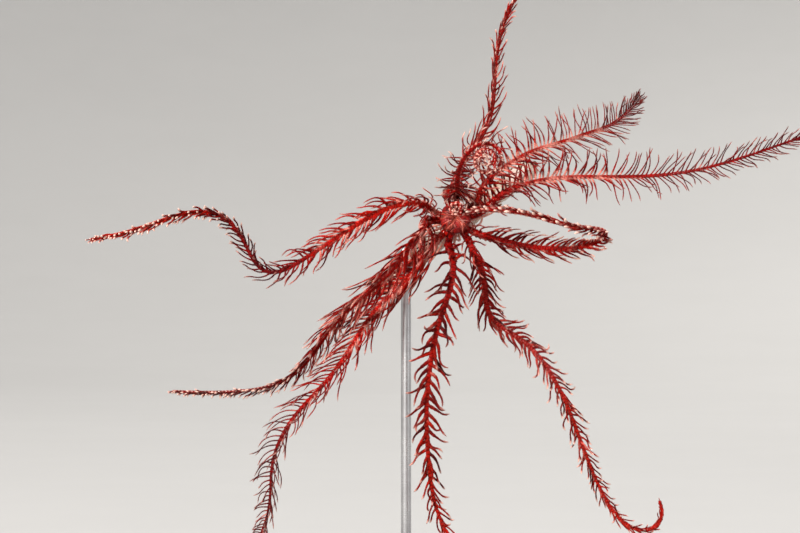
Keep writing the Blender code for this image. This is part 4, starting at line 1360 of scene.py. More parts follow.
@dataclass
class StarSkin:
    """The one skin of the calyx, the disc, the knob behind them and all ten arms."""

    crown: Crown
    arms: list[Arm]
    flesh: Material
    leather: Material
    horn: Material
    name: str = "star_skin"
    stub_joint: int = 9
    weld: float = 2e-6
    cup_profile: Profile = (
        (0.9, -2.3), (1.75, -2.05), (2.35, -1.55), (2.72, -0.9), (2.85, -0.2), (2.75, 0.35), (2.3, 0.75),
        (1.2, 0.9),
    )
    cup_sides: int = 80
    cup_lobes: float = 0.035
    ray_reach: Steps = (0.8, 1.5, 1.9, 2.3, 2.75, 2.85, 3.1, 3.6, 4.05, 4.5, 4.85)
    ray_across: Steps = (0.9, 1.15, 1.24, 1.28, 1.3, 1.16, 1.3, 1.42, 1.36, 1.05, 0.5)
    ray_up: Steps = (0.8, 0.9, 0.94, 0.95, 0.93, 0.84, 0.92, 0.95, 0.9, 0.78, 0.4)
    ray_sides: int = 24
    ray_spin: float = 0.37
    knob_profile: Profile = (
        (0.9, -1.2), (1.36, -1.8), (1.8, -2.22), (2.05, -2.5), (2.1, -2.87), (1.95, -3.25), (1.62, -3.65),
        (1.1, -3.92), (0.5, -4.02),
    )
    knob_lobes: float = 0.03
    knob_spin: float = 0.47
    disc_profile: Profile = (
        (2.2, 0.2), (3.0, 0.62), (3.55, 0.95), (3.78, 1.3), (3.78, 1.7), (3.55, 2.15), (3.1, 2.55),
        (2.5, 2.85), (1.8, 2.98), (1.1, 2.9), (0.62, 2.66), (0.38, 2.32), (0.22, 1.95),
    )
    disc_rings: int = 40
    disc_sides: int = 120
    disc_grain: float = 0.02
    disc_seed: int = 11
    disc_lobes: float = 0.055
    mouth_reach: float = 0.35
    groove_fork: float = 1.75
    groove_end: float = 4.4
    groove_depth: float = 0.34
    groove_width: float = 0.17
    lappet_place: float = 0.34
    lappet_width: float = 0.13
    lappet_rise: float = 0.13
    cone_profile: Profile = (
        (1.0, 0.9), (0.92, 1.6), (0.74, 2.3), (0.66, 2.9), (0.62, 3.4), (0.56, 3.7), (0.42, 3.8),
        (0.25, 3.66), (0.16, 3.3),
    )
    cone_turn: float = math.radians(62.0)
    cone_reach: float = 1.85
    cone_sides: int = 24
    cone_bottom: float = 3.1
    cone_flutes: int = 6
    cone_fluting: float = 0.07
    arm_tip: float = 0.3

    def build(self) -> Obj:
        """Makes the skin, its arms joined to the crown along the rings that they share."""
        crown = self._crown_skin()
        self._mark_crown(crown)
        self._open_stubs(crown)
        skin = joined(crown, self._arm_lengths("arm_skin", outer=True))
        with editing(skin):
            bpy.ops.mesh.select_all(action="SELECT")
            bpy.ops.mesh.remove_doubles(threshold=self.weld)
            bpy.ops.mesh.normals_make_consistent(inside=False)
        skin.data.shade_smooth()
        nodes = [node for arm in self.arms for node in arm.pose.nodes()]
        return placed(settle(skin, self.name), Slot.STAR, *nodes, "calyx", "disc", "cirri")

    def _band(self, low: float, high: float) -> Array:
        """Gives two edges within the crown's own band of the unwrap, beyond those of the arms."""
        return (len(self.arms) + 0.04 + 0.92 * np.array([[low, high]])) / (len(self.arms) + 1)

    def _closed(self, name: str, rings: Array, tip: Array, span: Pair, material: Material) -> Obj:
        """Builds a closed form, its rows over a span of the crown's band of the unwrap."""
        made = Sheaf(name, MARKS, mapped=True)
        rows = np.linspace(*span, len(rings) + 1)[None]
        made.add_tubes(rings[None], tip[None], {}, rows, self._band(0.0, 1.0))
        return made.build(material)

    def _lathe(
        self, name: str, profile: Profile, lobes: float, spin: float, span: Pair, material: Material
    ) -> Obj:
        """Turns a closed form round the crown's axis, drawn in a little between the rays."""
        turn = turns(self.cup_sides, spin)
        radius, height = (np.array(values)[:, None] for values in zip(*profile))
        lobed = 1 + lobes * np.cos(self.crown.rays * (turn - self.crown.first_turn))
        rings = self.crown.point(turn, radius * lobed, height)
        upwards = height[-1, 0] > height[0, 0]
        tip = self.crown.point(0.0, 0.0, height[-1, 0] + (0.02 if upwards else -0.02))
        return self._closed(name, rings if upwards else rings[:, ::-1], tip, span, material)

    def _rays(self) -> Obj:
        """Makes the five rays, each of two plates, the outer one widened under the fork."""
        crown, made = self.crown, Sheaf("rays", MARKS, mapped=True)
        turn = turns(self.ray_sides, self.ray_spin)
        reach, wide, high = (np.array(v)[:, None] for v in (self.ray_reach, self.ray_across, self.ray_up))
        wide, high = (np.cos(turn) * wide)[..., None], (np.sin(turn) * high)[..., None]
        tubes, tips = [], []
        for ray in range(crown.rays):
            facing = crown.ray_turn(2 * ray)
            across = crown.point(facing + math.pi / 2, 1.0, 0.0) - np.array(crown.centre)
            tubes.append(crown.point(facing, reach, crown.root_height) + across * wide + crown.oral * high)
            tips.append(crown.point(facing, self.ray_reach[-1] + 0.1, crown.root_height))
        rows = np.linspace(0.36, 0.49, len(self.ray_reach) + 1)
        bands = np.vstack([self._band(0.2 * ray, 0.2 * ray + 0.17) for ray in range(crown.rays)])
        made.add_tubes(np.array(tubes), np.array(tips), {}, np.tile(rows, (crown.rays, 1)), bands)
        return made.build(self.flesh)

    def _from_groove(self, turn: Array, radius: Array) -> Array:
        """Gives how far each place on the disc lies from the middle of the nearest food groove."""
        x, y = radius * np.cos(turn), radius * np.sin(turn)
        near = np.full(x.shape, np.inf)
        for number in range(2 * self.crown.rays):
            ray, arm = self.crown.ray_turn(number), self.crown.arm_turn(number)
            stops = [(self.mouth_reach, ray), (self.groove_fork, ray), (self.groove_end, arm)]
            for (r0, a0), (r1, a1) in zip(stops, stops[1:]):
                ax, ay = r0 * math.cos(a0), r0 * math.sin(a0)
                bx, by = r1 * math.cos(a1) - ax, r1 * math.sin(a1) - ay
                share = np.clip(((x - ax) * bx + (y - ay) * by) / (bx * bx + by * by), 0.0, 1.0)
                near = np.minimum(near, np.hypot(x - ax - bx * share, y - ay - by * share))
        return near

    def _scallops(self, turn: Array, radius: Array) -> Array:
        """Gives the lappets' rise along the grooves' edges, from 0 to 1."""
        return 0.5 + 0.5 * np.cos(radius * 14.0 + turn * 3.0)

    def _disc(self) -> Obj:
        """Makes the disc: a puffy dome, parted by its grooves, with the mouth sunk at its middle."""
        share = np.linspace(0.0, 1.0, self.disc_rings)[:, None]
        turn = turns(self.disc_sides) + np.zeros_like(share)
        radius, height = (along(values, share) + np.zeros_like(turn) for values in zip(*self.disc_profile))
        near, top = self._from_groove(turn, radius), eased(0.2, 0.42, share)
        edge = self.lappet_rise * swell(near - self.lappet_place, self.lappet_width)
        edge = edge * eased(0.5, 0.9, radius) * (0.6 + 0.4 * self._scallops(turn, radius))
        grain = self.disc_grain * np.random.default_rng(self.disc_seed).normal(0.0, 1.0, radius.shape)
        height = height + top * (edge + grain - self.groove_depth * swell(near, self.groove_width))
        between = np.cos(self.crown.rays * wrapped(turn - self.crown.first_turn))
        radius = radius * (1 - self.disc_lobes * between * eased(1.0, 3.4, radius))
        tip = self.crown.point(0.0, 0.0, self.disc_profile[-1][1] - 0.1)
        rings = self.crown.point(turn, radius, height)
        return self._closed("disc_dome", rings, tip, (0.51, 0.85), self.leather)

    def _anal_cone(self) -> Obj:
        """Makes the anal cone, a fluted chimney with a puckered opening."""
        crown, turn, profile = self.crown, turns(self.cone_sides), np.array(self.cone_profile)
        foot = crown.point(self.cone_turn, self.cone_reach, 0.0)
        fluted = 1 + self.cone_fluting * np.cos(self.cone_flutes * turn) * eased(1.6, 3.4, profile[:, 1:])
        rings = foot + (profile[:, :1] * fluted)[..., None] * turned(turn, crown.right, crown.up)
        rings = rings + profile[:, 1, None, None] * crown.oral
        tip = foot + crown.oral * self.cone_bottom
        return self._closed("anal_cone", rings, tip, (0.87, 0.98), self.leather)

    def _arm_lengths(self, name: str, outer: bool) -> Obj:
        """Makes either the arms' first lengths, with flat ends, or the rest of each, drawn to its tip."""
        made = Sheaf(name, MARKS, mapped=True)
        for arm in self.arms:
            start, end = arm.track.distances[0], arm.track.length
            first, last = (self.stub_joint, len(arm.joints) - 1) if outer else (0, self.stub_joint)
            points, marks, rows = arm.rings(first, last)
            tip = None
            if outer:
                centre, tangent, _, _ = arm.track.at(end)
                tip, rows = centre + tangent * self.arm_tip, np.append(rows, end + self.arm_tip)
            rows = 0.01 + (rows - start) / (end + 0.4 - start) * 0.98
            band = (arm.number + np.array([[0.04, 0.96]])) / (len(self.arms) + 1)
            made.add_tubes(points[None], tip, marks, rows[None], band, root_closed=not outer)
        return made.build(self.flesh)

    def _crown_skin(self) -> Obj:
        """Unites the cup, the knob, the rays, the arms' first lengths, the disc and the anal cone."""
        body = self._lathe("cup", self.cup_profile, self.cup_lobes, 0.0, (0.01, 0.19), self.flesh)
        knob = self._lathe(
            "knob", self.knob_profile, self.knob_lobes, self.knob_spin, (0.21, 0.34), self.horn
        )
        stubs = self._arm_lengths("stubs", outer=False)
        for piece in (knob, self._rays(), stubs, self._disc(), self._anal_cone()):
            combine(body, piece, use_self=True, material_mode="TRANSFER")
        return body

    def _mark_crown(self, crown: Obj) -> None:
        """Marks the crown's points by where they lie, because a union mixes up what they carried."""
        points = points_of(crown.data) / MM
        outwards = points - np.array(self.crown.centre)
        across, up, height = (outwards @ way for way in (self.crown.right, self.crown.up, self.crown.oral))
        radius, turn = np.hypot(across, up), np.arctan2(up, across)
        values = {mark: np.zeros(len(points)) for mark in MARKS}
        values["pale"] += 0.3
        values["shade"] += 0.1
        values["joints"] = np.interp(radius, (0.0, 1.5, 2.8, 4.85, 5.5), (-2.5, -1.5, -1.0, 0.0, 0.5)) + 0.5
        nearest = np.full(len(points), np.inf)
        for arm in self.arms:
            head = arm.track.distances < arm.joints[self.stub_joint] + 0.5
            line, where = arm.track.points[head][::4], arm.track.distances[head][::4]
            gaps = np.linalg.norm(points[:, None] - line, axis=2)
            gap, distance = gaps.min(axis=1), where[gaps.argmin(axis=1)]
            own = (gap < nearest) & (gap < 1.45 * arm.pose.radii[0]) & (radius > 4.0)
            nearest = np.minimum(nearest, gap)
            marks = {"joints": np.interp(distance, arm.joints, np.arange(len(arm.joints)))}
            for mark in ("pale", "shade", "warm"):
                marks[mark] = along(getattr(arm.pose.tints, mark), arm.share(distance))
            for mark, value in marks.items():
                values[mark] = np.where(own, value, values[mark])
        on_disc = eased(0.8, 1.3, height) * (1 - eased(3.9, 4.2, radius)) > 0.5
        near = self._from_groove(turn, radius)
        values["pale"] = np.where(on_disc, 0.85 * swell(near, 0.19), values["pale"])
        values["dots"] = 0.55 * on_disc * swell(near - 0.36, 0.12) * self._scallops(turn, radius)
        for mark, value in values.items():
            made = crown.data.attributes.get(mark) or crown.data.attributes.new(mark, "FLOAT", "POINT")
            made.data.foreach_set("value", value.astype(np.float32))

    def _open_stubs(self, crown: Obj) -> None:
        """Takes away the flat ends of the arms' first lengths, where the rest of each arm joins on."""
        rims = tree_of(np.concatenate([arm.rings(0, self.stub_joint)[0][-1] for arm in self.arms]) * MM)
        shape = bmesh.new()
        shape.from_mesh(crown.data)
        ends = [face for face in shape.faces if all(rims.find(vert.co)[2] < self.weld for vert in face.verts)]
        LOG.info("ends opened: %d", len(ends))
        bmesh.ops.delete(shape, geom=ends, context="FACES")
        shape.to_mesh(crown.data)
        shape.free()


@dataclass
class Surroundings:
    """What the pinnules bend round: the arms' lines, the stem, the rod and the disc."""

    arms: list[Arm]
    perch: "Perch"
    rod_top: Array
    spare: float = 0.12
    own_reach: float = 3.2
    search: float = 1.8
    step: int = 6
    stem_steps: int = 200
    disc_height: float = -0.6
    disc_radius: float = 3.75
    wart_rise: float = 0.35
    rod_radius: float = 1.3
    carried: float = 0.85

    def __post_init__(self) -> None:
        """Sorts samples of the arms' and the stem's lines by their place."""
        self.samples = [
            (arm.number, float(distance), float(arm.radius(distance)))
            for arm in self.arms for distance in arm.track.distances[::self.step]
        ]
        self.tree = tree_of([point for arm in self.arms for point in arm.track.points[::self.step]])
        half = self.perch.half_length
        places = np.linspace(-half, half, self.stem_steps)
        self.stem = tree_of([self.perch.at(place)[0] for place in places])

    def cleared(self, path: Array, radius: float, owner: int, place: float) -> Array:
        """Bends a pinnule's path clear of what it would cross.

        Args:
            path: The pinnule's points, one a row.
            radius: Its radius.
            owner: The number of the arm that bears it.
            place: Its distance along that arm.

        Returns:
            The path, bent where it has to be.
        """
        made, shift = path.copy(), np.zeros(3)
        dome = Vector(self.perch.crown.point(0.0, 0.0, self.disc_height))
        for k in range(2, len(made)):
            made[k] += shift
            point = Vector(made[k])
            walls = [(self.disc_radius - (point - dome).length, dome)]
            for where, i, gap in self.tree.find_range(point, self.search):
                number, distance, thick = self.samples[i]
                if number != owner or abs(distance - place) >= self.own_reach:
                    walls.append((thick - gap, where))
            where, _, gap = self.stem.find(point)
            walls.append((self.perch.radius + self.wart_rise - gap, where))
            if point.z < self.rod_top[2]:
                flat = Vector((*self.rod_top[:2], point.z))
                walls.append((self.rod_radius - (point - flat).length, flat))
            depth, wall = max(walls, key=lambda found: found[0])
            over = depth + radius + self.spare
            if over > 0:
                away = point - wall
                if away.length < 1e-3:
                    away = Vector((0.0, -1.0, 0.0))
                push = np.array(away.normalized()) * over
                made[k] += push
                shift = shift + push * self.carried
        return made


@dataclass
class PinnuleCoat:
    """One arm's pinnules, with the tube feet in two rows along each, as one piece."""

    arm: Arm
    around: Surroundings
    first_seed: int = 100
    sides: int = 5
    rows: int = 12
    first_joint: int = 5
    place_in_brachial: float = 0.72
    length_luck: Pair = (0.9, 1.1)
    opening_luck: Pair = (0.9, 1.1)
    closing_luck: Pair = (0.75, 1.25)
    flick_luck: Pair = (0.5, 1.4)
    lift_luck: float = 0.09
    follow_openings: Pair = (16.0, 55.0)
    follow_shares: Pair = (1.0, 0.25)
    root_place: float = 0.55
    first_lift: float = 58.0
    lift_falls: Pair = (2.0, 11.0)
    oral_count: int = 2
    oral_radius: float = 0.74
    oral_stops: tuple[Triple, ...] = ((5.1, 2.4, 0.10), (4.5, 4.0, 0.22), (2.9, 4.7, 0.10), (1.5, 4.3, -0.25))
    oral_unrest: Triple = (0.5, 0.35, 0.22)
    second_length: float = 0.72
    last_shortening: float = 0.45
    radii: Steps = (0.30, 0.22, 0.185, 0.16, 0.155, 0.16, 0.07)
    club: Steps = (0.0, 0.0, 0.0, 0.3, 1.0, 0.8)
    club_swell: float = 0.45
    ripe_swell: float = 0.6
    ripe_place: float = 0.28
    ripe_width: float = 0.24
    tint_luck: float = 0.15
    thinning: float = 0.25
    flatness: float = 0.86
    knuckle: float = 0.09
    segment: float = 0.48
    foot_step: float = 0.38
    foot_start: float = 0.12
    foot_span: float = 0.84
    foot_length: float = 0.42
    foot_radius: float = 0.055
    foot_luck: Profile = ((0.55, 1.0), (0.1, 0.5), (0.65, 1.15))
    draw: random.Random = field(init=False)
    waves: list[Triple] = field(init=False)

    def build(self, flesh: Material) -> Obj:
        """Makes the coat of one arm and sets it in the frame."""
        draw = self.draw = random.Random(self.first_seed + self.arm.number)
        self.waves = [
            (draw.uniform(5.0, 9.5), draw.uniform(2.6, 4.4), draw.uniform(0.0, math.tau)) for _ in range(6)
        ]
        grown = [self._pinnule(joint) for joint in range(self.first_joint, len(self.arm.joints) - 1)]
        paths, radii, outs, places = (np.array(values) for values in zip(*grown))
        tangents = unit(np.gradient(paths, axis=1))
        ways = unit(outs[:, None] - tangents * (tangents * outs[:, None]).sum(-1, keepdims=True))
        frames = tangents, ways, np.cross(ways, tangents)
        sheaf = Sheaf(f"{self.arm.pose.name}_pinnules", MARKS, mapped=True)
        self._add_pinnules(sheaf, paths, radii, frames, places)
        self._add_feet(sheaf, paths, radii, frames, places)
        return placed(sheaf.build(flesh), Slot.STAR, *self.arm.pose.nodes())

    def _sway(self, place: float, hand: float, kind: int) -> float:
        """Gives a slow wave between -1 and 1 that neighbours on one side of the arm share."""
        long, short, start = self.waves[kind + (3 if hand > 0 else 0)]
        slow, quick = math.tau * place / long + start, math.tau * place / short + 2 * start
        return 0.6 * math.sin(slow) + 0.4 * math.sin(quick)

    def _pinnule(self, joint: int) -> tuple[Array, Array, Array, float]:
        """Shapes one pinnule's line.

        Args:
            joint: The joint that its brachial follows.

        Returns:
            The line's points, their radii, the way that its groove faces and its distance along the arm.
        """
        arm, pose, draw = self.arm, self.arm.pose, self.draw
        before, after = arm.joints[joint:joint + 2]
        place = float(before + (after - before) * self.place_in_brachial)
        share, hand, order = float(arm.share(place)), float(arm.hand(joint)), joint - self.first_joint
        oral, second = order < self.oral_count, self.oral_count <= order < 2 * self.oral_count
        length = float(along(pose.lengths, share)) * draw.uniform(*self.length_luck)
        length *= self.second_length if second else 1.0
        length *= 1 - self.last_shortening * float(eased(0.95, 1.0, share))
        length *= 1 + 0.4 * pose.unrest * self._sway(place, hand, 0)
        opening = math.radians(float(along(pose.opening, share))) * draw.uniform(*self.opening_luck)
        opening *= 1 + 0.9 * pose.unrest * self._sway(place, hand, 1)
        lift = float(np.interp(place, self.lift_falls, (self.first_lift, along(pose.lift, share))))
        lift = math.radians(lift) + draw.gauss(0.0, self.lift_luck) + pose.unrest * self._sway(place, hand, 2)
        t = np.linspace(0.0, 1.0, self.rows + 1)
        middle, step = (t[:-1] + t[1:]) / 2, length / self.rows
        closing = float(along(pose.closing, share)) * draw.uniform(*self.closing_luck)
        flick = math.radians(float(along(pose.flick, share))) * draw.uniform(*self.flick_luck)
        flick += draw.gauss(0.0, pose.unrest)
        bend = opening * (1.12 - (1.12 - closing) * eased(0.0, 0.8, middle))
        bend += flick * eased(0.55, 0.95, middle)
        bend += draw.gauss(0.0, 0.5 * pose.unrest) * np.sin(4.5 * middle + draw.uniform(0.0, math.tau))
        tilt = draw.gauss(0.10, 0.9 * pose.unrest) * middle
        tilt += draw.gauss(0.0, 1.2 * pose.unrest) * (middle - 0.5).clip(0)
        forward, aside, rise = (
            np.append(0.0, np.cumsum(part * step))
            for part in (np.cos(bend) * np.cos(tilt), np.sin(bend) * np.cos(tilt), np.sin(tilt))
        )
        follow = float(np.interp(math.degrees(opening), self.follow_openings, self.follow_shares))
        aside = aside + float(arm.radius(place)) * self.root_place
        path = np.zeros((len(t), 3))
        for weight, where in ((follow, place + forward), (1 - follow, np.full(len(t), place))):
            centre, tangent, normal, side = arm.track.at(where)
            ahead = np.maximum(place + forward - np.minimum(where, arm.track.length), 0.0)[:, None]
            out = side * (hand * math.cos(lift)) + normal * math.sin(lift)
            over = normal * math.cos(lift) - side * (hand * math.sin(lift))
            path += weight * (centre + tangent * ahead + out * aside[:, None] + over * rise[:, None])
        radius = along(self.radii, t) * (1 - self.thinning * share) * float(along(pose.girth, share))
        if not oral and not second:
            ripe = float(eased(0.02, 0.06, share) * (1 - eased(pose.ripe, pose.ripe + 0.2, share)))
            radius = radius * (1 + self.ripe_swell * ripe * swell(t - self.ripe_place, self.ripe_width))
        radius = radius * (1 + self.club_swell * self._pale_tip_and_highlight(order, share) * along(self.club, t))
        radius = radius * (self.oral_radius if oral else 1.0) * min(1.0, 0.45 + length / 6.0)
        if oral:
            path = self._over_disc(path[0], hand)
        path = self.around.cleared(path, float(radius.mean()), arm.number, place)
        return path, radius, unit(normal[0] * 0.9 + out[0] * 0.25), place

    def _over_disc(self, root: Array, hand: float) -> Array:
        """Routes an oral pinnule from its root up beside the disc and in over it."""
        crown, stops = self.around.perch.crown, np.array(self.oral_stops)
        strays = [self.draw.gauss(0.0, spread) for spread in self.oral_unrest]
        stops += np.linspace(0.0, 1.0, len(stops))[:, None] * strays
        turn = crown.arm_turn(self.arm.number)
        controls = [crown.point(turn + hand * swing, radius, height) for radius, height, swing in stops]
        rough = spline(np.vstack([root, controls]), 8)
        run = run_of(rough)
        return read_rows(np.linspace(0.0, run[-1], self.rows + 1), run, rough)

    def _pale_tip_and_highlight(self, order: int | Array, share: float | Array) -> float | Array:
        """Gives how pale a pinnule's tip is, from 0 to 1: partly pale skin and partly painted highlight."""
        pose = self.arm.pose
        return along(pose.tints.dots, share) * np.where((order // 2) % pose.dot_every == 0, 1.0, 0.25)

    def _add_pinnules(
        self, sheaf: Sheaf, paths: Array, radii: Array, frames: tuple[Array, Array, Array], places: Array
    ) -> None:
        """Adds the pinnules' tapered tubes, flattened on the side of their groove."""
        _, ways, sides = frames
        turn = turns(self.sides, 0.5) - math.pi / 2
        knuckle = 1 + self.knuckle * np.where(np.arange(self.rows + 1) % 2 == 0, 1.0, -1.0)
        section = turned(turn, sides[:, :, None], self.flatness * ways[:, :, None])
        rings = paths[:, :, None] + (radii * knuckle)[..., None, None] * section
        t = np.linspace(0.0, 1.0, self.rows + 1)[:-1][None, :, None]
        share, number = self.arm.share(places)[:, None, None], np.arange(len(places))[:, None, None]
        tints, dot = self.arm.pose.tints, self.arm.pose.dot_share
        luck = np.array([self.draw.gauss(0.0, self.tint_luck) for _ in places])[:, None, None]
        pale, tips = along(tints.pale, share), along(tints.tips, share)
        lengths = np.linalg.norm(np.diff(paths, axis=1), axis=2).sum(axis=1)[:, None, None]
        # pale lays salmon at the bases and tips, and dots lays the cream tips; both are partly the skin's own
        # colour and partly painted highlight.
        marks = {
            "pale": 0.9 * pale * (1 - eased(0.10, 0.26, t)) + tips * eased(0.6, 1.0, t)
            + 0.2 * tips * np.sin(turn).clip(0.0, 1.0) + luck * (pale + tips > 0.1),
            "shade": along(tints.shade, share) + 0.2 * eased(0.1, 0.45, t) * (1 - eased(0.6, 0.9, t)) - luck,
            "warm": along(tints.warm, share) + luck,
            "dots": self._pale_tip_and_highlight(number, share) * eased(1 - 1.15 * dot, 1 - 0.5 * dot, t),
        }
        marks = {mark: np.clip(value, 0.0, 1.0) for mark, value in marks.items()}
        marks["joints"] = t * lengths / self.segment + self.rows * number + 0.5
        u, v = self._spots(places)
        tips_at = paths[:, -1] + (paths[:, -1] - paths[:, -2]) * 0.02
        lengthwise = u[:, None] + np.linspace(*PATCH, self.rows + 1)
        sheaf.add_tubes(rings[:, :-1], tips_at, marks, lengthwise, v[:, None] + PATCH)

    def _spots(self, places: Array) -> tuple[Array, Array]:
        """Gives where each pinnule's root lies on an unwrap of the arm: along it, and round it."""
        start, end = self.arm.track.distances[0], self.arm.track.length
        hand = self.arm.hand(np.arange(self.first_joint, self.first_joint + len(places)))
        return 0.01 + 0.98 * (places - start) / (end - start), np.where(hand > 0, 0.25, 0.75)

    def _add_feet(
        self, sheaf: Sheaf, paths: Array, radii: Array, frames: tuple[Array, Array, Array], places: Array
    ) -> None:
        """Adds the tube feet: small cones in two rows beside each pinnule's groove."""
        roots = []
        lengths = np.linalg.norm(np.diff(paths, axis=1), axis=2).sum(axis=1)
        for k, length in list(enumerate(lengths))[self.oral_count:]:
            count = int(length * self.foot_span / self.foot_step)
            spots = [self.foot_start + self.foot_span * (i + 0.5) / count for i in range(count)]
            roots += [(k, spot, hand) for spot in spots for hand in (-1, 1)]
        owner = np.array([k for k, _, _ in roots])
        share, hand = np.array([[s, h] for _, s, h in roots]).T[..., None]
        luck = np.array([[self.draw.uniform(*span) for span in self.foot_luck] for _ in roots])
        low = np.minimum((share[:, 0] * self.rows).astype(int), self.rows - 1)
        part = share * self.rows - low[:, None]
        point = paths[owner, low] * (1 - part) + paths[owner, low + 1] * part
        radius = radii[owner, low][:, None] * (1 - part) + radii[owner, low + 1][:, None] * part
        tangent, way, side = (frame[owner, low] for frame in frames)
        axis = unit(way * 0.75 + side * (hand * luck[:, :1]) + tangent * luck[:, 1:2])
        reach = self.foot_length * luck[:, 2:] * (1 - 0.4 * share)
        reach = reach * np.minimum(1.0, lengths[owner, None] / 4.0)
        bases = point + unit(way * 0.6 + side * hand * 0.7) * radius * 0.62
        across = unit(np.cross(axis, tangent + 0.3 * side))
        section = turned(turns(3), across[:, None], np.cross(axis, across)[:, None])
        place, tints = self.arm.share(places[owner])[:, None, None], self.arm.pose.tints
        # Feet within a cream tip take its colour, which is partly painted highlight.
        pale_and_highlight_feet = self._pale_tip_and_highlight(owner[:, None, None], place) * (share[..., None] > 1 - self.arm.pose.dot_share)
        marks = {
            "pale": 0.2 + 0.5 * along(tints.tips, place), "shade": 0.6 * along(tints.shade, place),
            "warm": along(tints.warm, place), "joints": np.full((1, 1, 1), 0.5), "dots": 0.8 * pale_and_highlight_feet,
        }
        u, v = (spot[owner] for spot in self._spots(places))
        v = v + hand[:, 0] * (0.012 + 0.13 * share[:, 0])
        rings, tips = bases[:, None] + self.foot_radius * section, bases + axis * (reach + radius * 0.3)
        sheaf.add_tubes(rings[:, None], tips, marks, u[:, None] + PATCH, v[:, None] + PATCH)


@dataclass
class Perch:
    """The cut gorgonian stem: its knobbly rind, its polyps and its horny core."""

    crown: Crown
    half_length: float = 25.0
    slope: float = math.radians(38.0)
    radius: float = 2.5
    bow: float = 6.0
    stand_off: float = 4.65
    core_radius: float = 0.9
    core_stub: float = 1.6
    core_sunk: float = 1.0
    sides: int = 84
    rings_per_mm: float = 4.6
    warts: int = 330
    wart_seed: int = 23
    wart_width: float = 0.62
    pit_width: float = 0.24
    wart_height: float = 0.30
    wart_reach: float = 2.2
    rind_inset: float = 0.12
    ring_place: float = -15.5
    ring_half: float = 2.0
    bare_half: float = 10.5
    polyp_share: float = 0.42
    polyp_seed: int = 31

    def at(self, distance: float) -> tuple[Array, Array, Array, Array]:
        """Gives the centre, the stem's way, the way to the star and the side at a distance along it."""
        share, oral = distance / self.half_length, self.crown.oral
        run = np.array([math.cos(self.slope), 0.0, math.sin(self.slope)])
        middle = np.array(self.crown.centre) - oral * (self.stand_off + self.radius)
        centre = middle + run * distance + np.array([0.0, self.bow * share * share, 0.0])
        run = unit(run + np.array([0.0, 2 * self.bow * share / self.half_length, 0.0]))
        facing = unit(oral - run * oral.dot(run))
        return centre, run, facing, np.cross(run, facing)

    def _ring(self, distance: float, turn: Array, reach: Array | float, shift: float = 0.0) -> Array:
        """Gives points round the stem, moved along it by a shift."""
        centre, run, facing, side = self.at(distance)
        return centre + run * shift + np.asarray(reach)[..., None] * turned(turn, facing, side)

    def _wart_places(self) -> list[Triple]:
        """Gives each wart's distance, turn and size, in a loose spiral."""
        draw, golden, made = random.Random(self.wart_seed), math.pi * (3 - math.sqrt(5)), []
        for i in range(self.warts):
            distance = -self.half_length + 2 * self.half_length * (i + 0.5) / self.warts
            turn = wrapped(i * golden + draw.uniform(-0.25, 0.25))
            made.append((distance + draw.uniform(-0.5, 0.5), turn, draw.uniform(0.7, 1.15)))
        return made

    def build(self, rind: Material, polyp: Material, core: Material) -> list[Obj]:
        """Makes the stem's three pieces and sets them in the frame."""
        places = self._wart_places()
        made = self._rind(places, rind), self._polyps(places, polyp), self._core(core)
        return [placed(piece, Slot.PERCH, "perch_stem") for piece in made]

    def _rind(self, places: list[Triple], rind: Material) -> Obj:
        """Makes the rind: a tube swollen by its warts, each with a brown pit, and cut square at its ends."""
        half, turn = self.half_length, turns(self.sides)
        distance = np.linspace(-half, half, int(2 * half * self.rings_per_mm))
        down = distance[:, None]
        swollen = np.zeros((len(distance), self.sides))
        pits = np.zeros_like(swollen)
        for where, angle, size in places:
            rows = np.abs(distance - where) < self.wart_reach
            gap = np.hypot(down[rows] - where, wrapped(turn - angle) * self.radius)
            hump, dimple = size * swell(gap, self.wart_width), swell(gap, self.pit_width)
            swollen[rows] = np.maximum(swollen[rows], hump * (1 - 0.75 * dimple))
            pits[rows] = np.maximum(pits[rows], dimple * min(1.0, size * size))
        waves = 0.05 * np.sin(down * 0.9) * np.cos(turn * 2 + down * 0.15)
        reach = self.radius - self.rind_inset + waves + self.wart_height * swollen
        ragged = 0.16 * np.cos(turn * 7) * np.cos(turn * 3 + 1.0)
        reach = reach - 0.4 * swell(half - np.abs(down) + ragged, 0.3)
        held = 1 - eased(self.ring_half, self.ring_half + 0.8, np.abs(down - self.ring_place))
        reach = reach * (1 - held) + np.minimum(reach, self.radius + 0.02) * held
        points = [self._ring(where, turn, row) for where, row in zip(distance, reach)]
        rims = (1.7, 0.02), (self.core_radius - 0.05, -0.12)
        low, high = (
            [self._ring(hand * half, turn, rim, hand * out) for rim, out in rims] for hand in (-1, 1)
        )
        rosy = 0.6 * eased(0.2, 0.9, np.sin(down * 0.37 + 1.0))
        ends = (2, 2), (0, 0)
        made = Sheaf("perch_rind", ("dots", "shade"))
        marks = {"dots": np.pad(pits, ends)[None], "shade": np.pad(rosy, ends, mode="edge")[None]}
        made.add_tubes(np.array([*low[::-1], *points, *high])[None], None, marks)
        return made.build(rind)

    def _polyp_pattern(self) -> Pattern:
        """Models one polyp: a short body with eight tapered tentacles."""
        obj = cylinder(8, 0.24, 0.5, location=(0.0, 0.0, 0.1))
        with editing(obj):
            pick_top(obj)
            step_out(0.16, 1.1)
            pick_faces(obj, lambda centre, normal: abs(normal.z) < 0.5 and centre.z > 0.16)
            for thickness in (0.025, 0.02):
                bpy.ops.mesh.inset(thickness=thickness, depth=0.16, use_individual=True)
            pick_top(obj)
            bpy.ops.mesh.inset(thickness=0.09, depth=-0.06)
        return Pattern.of(settle(obj, "polyp_pattern"))

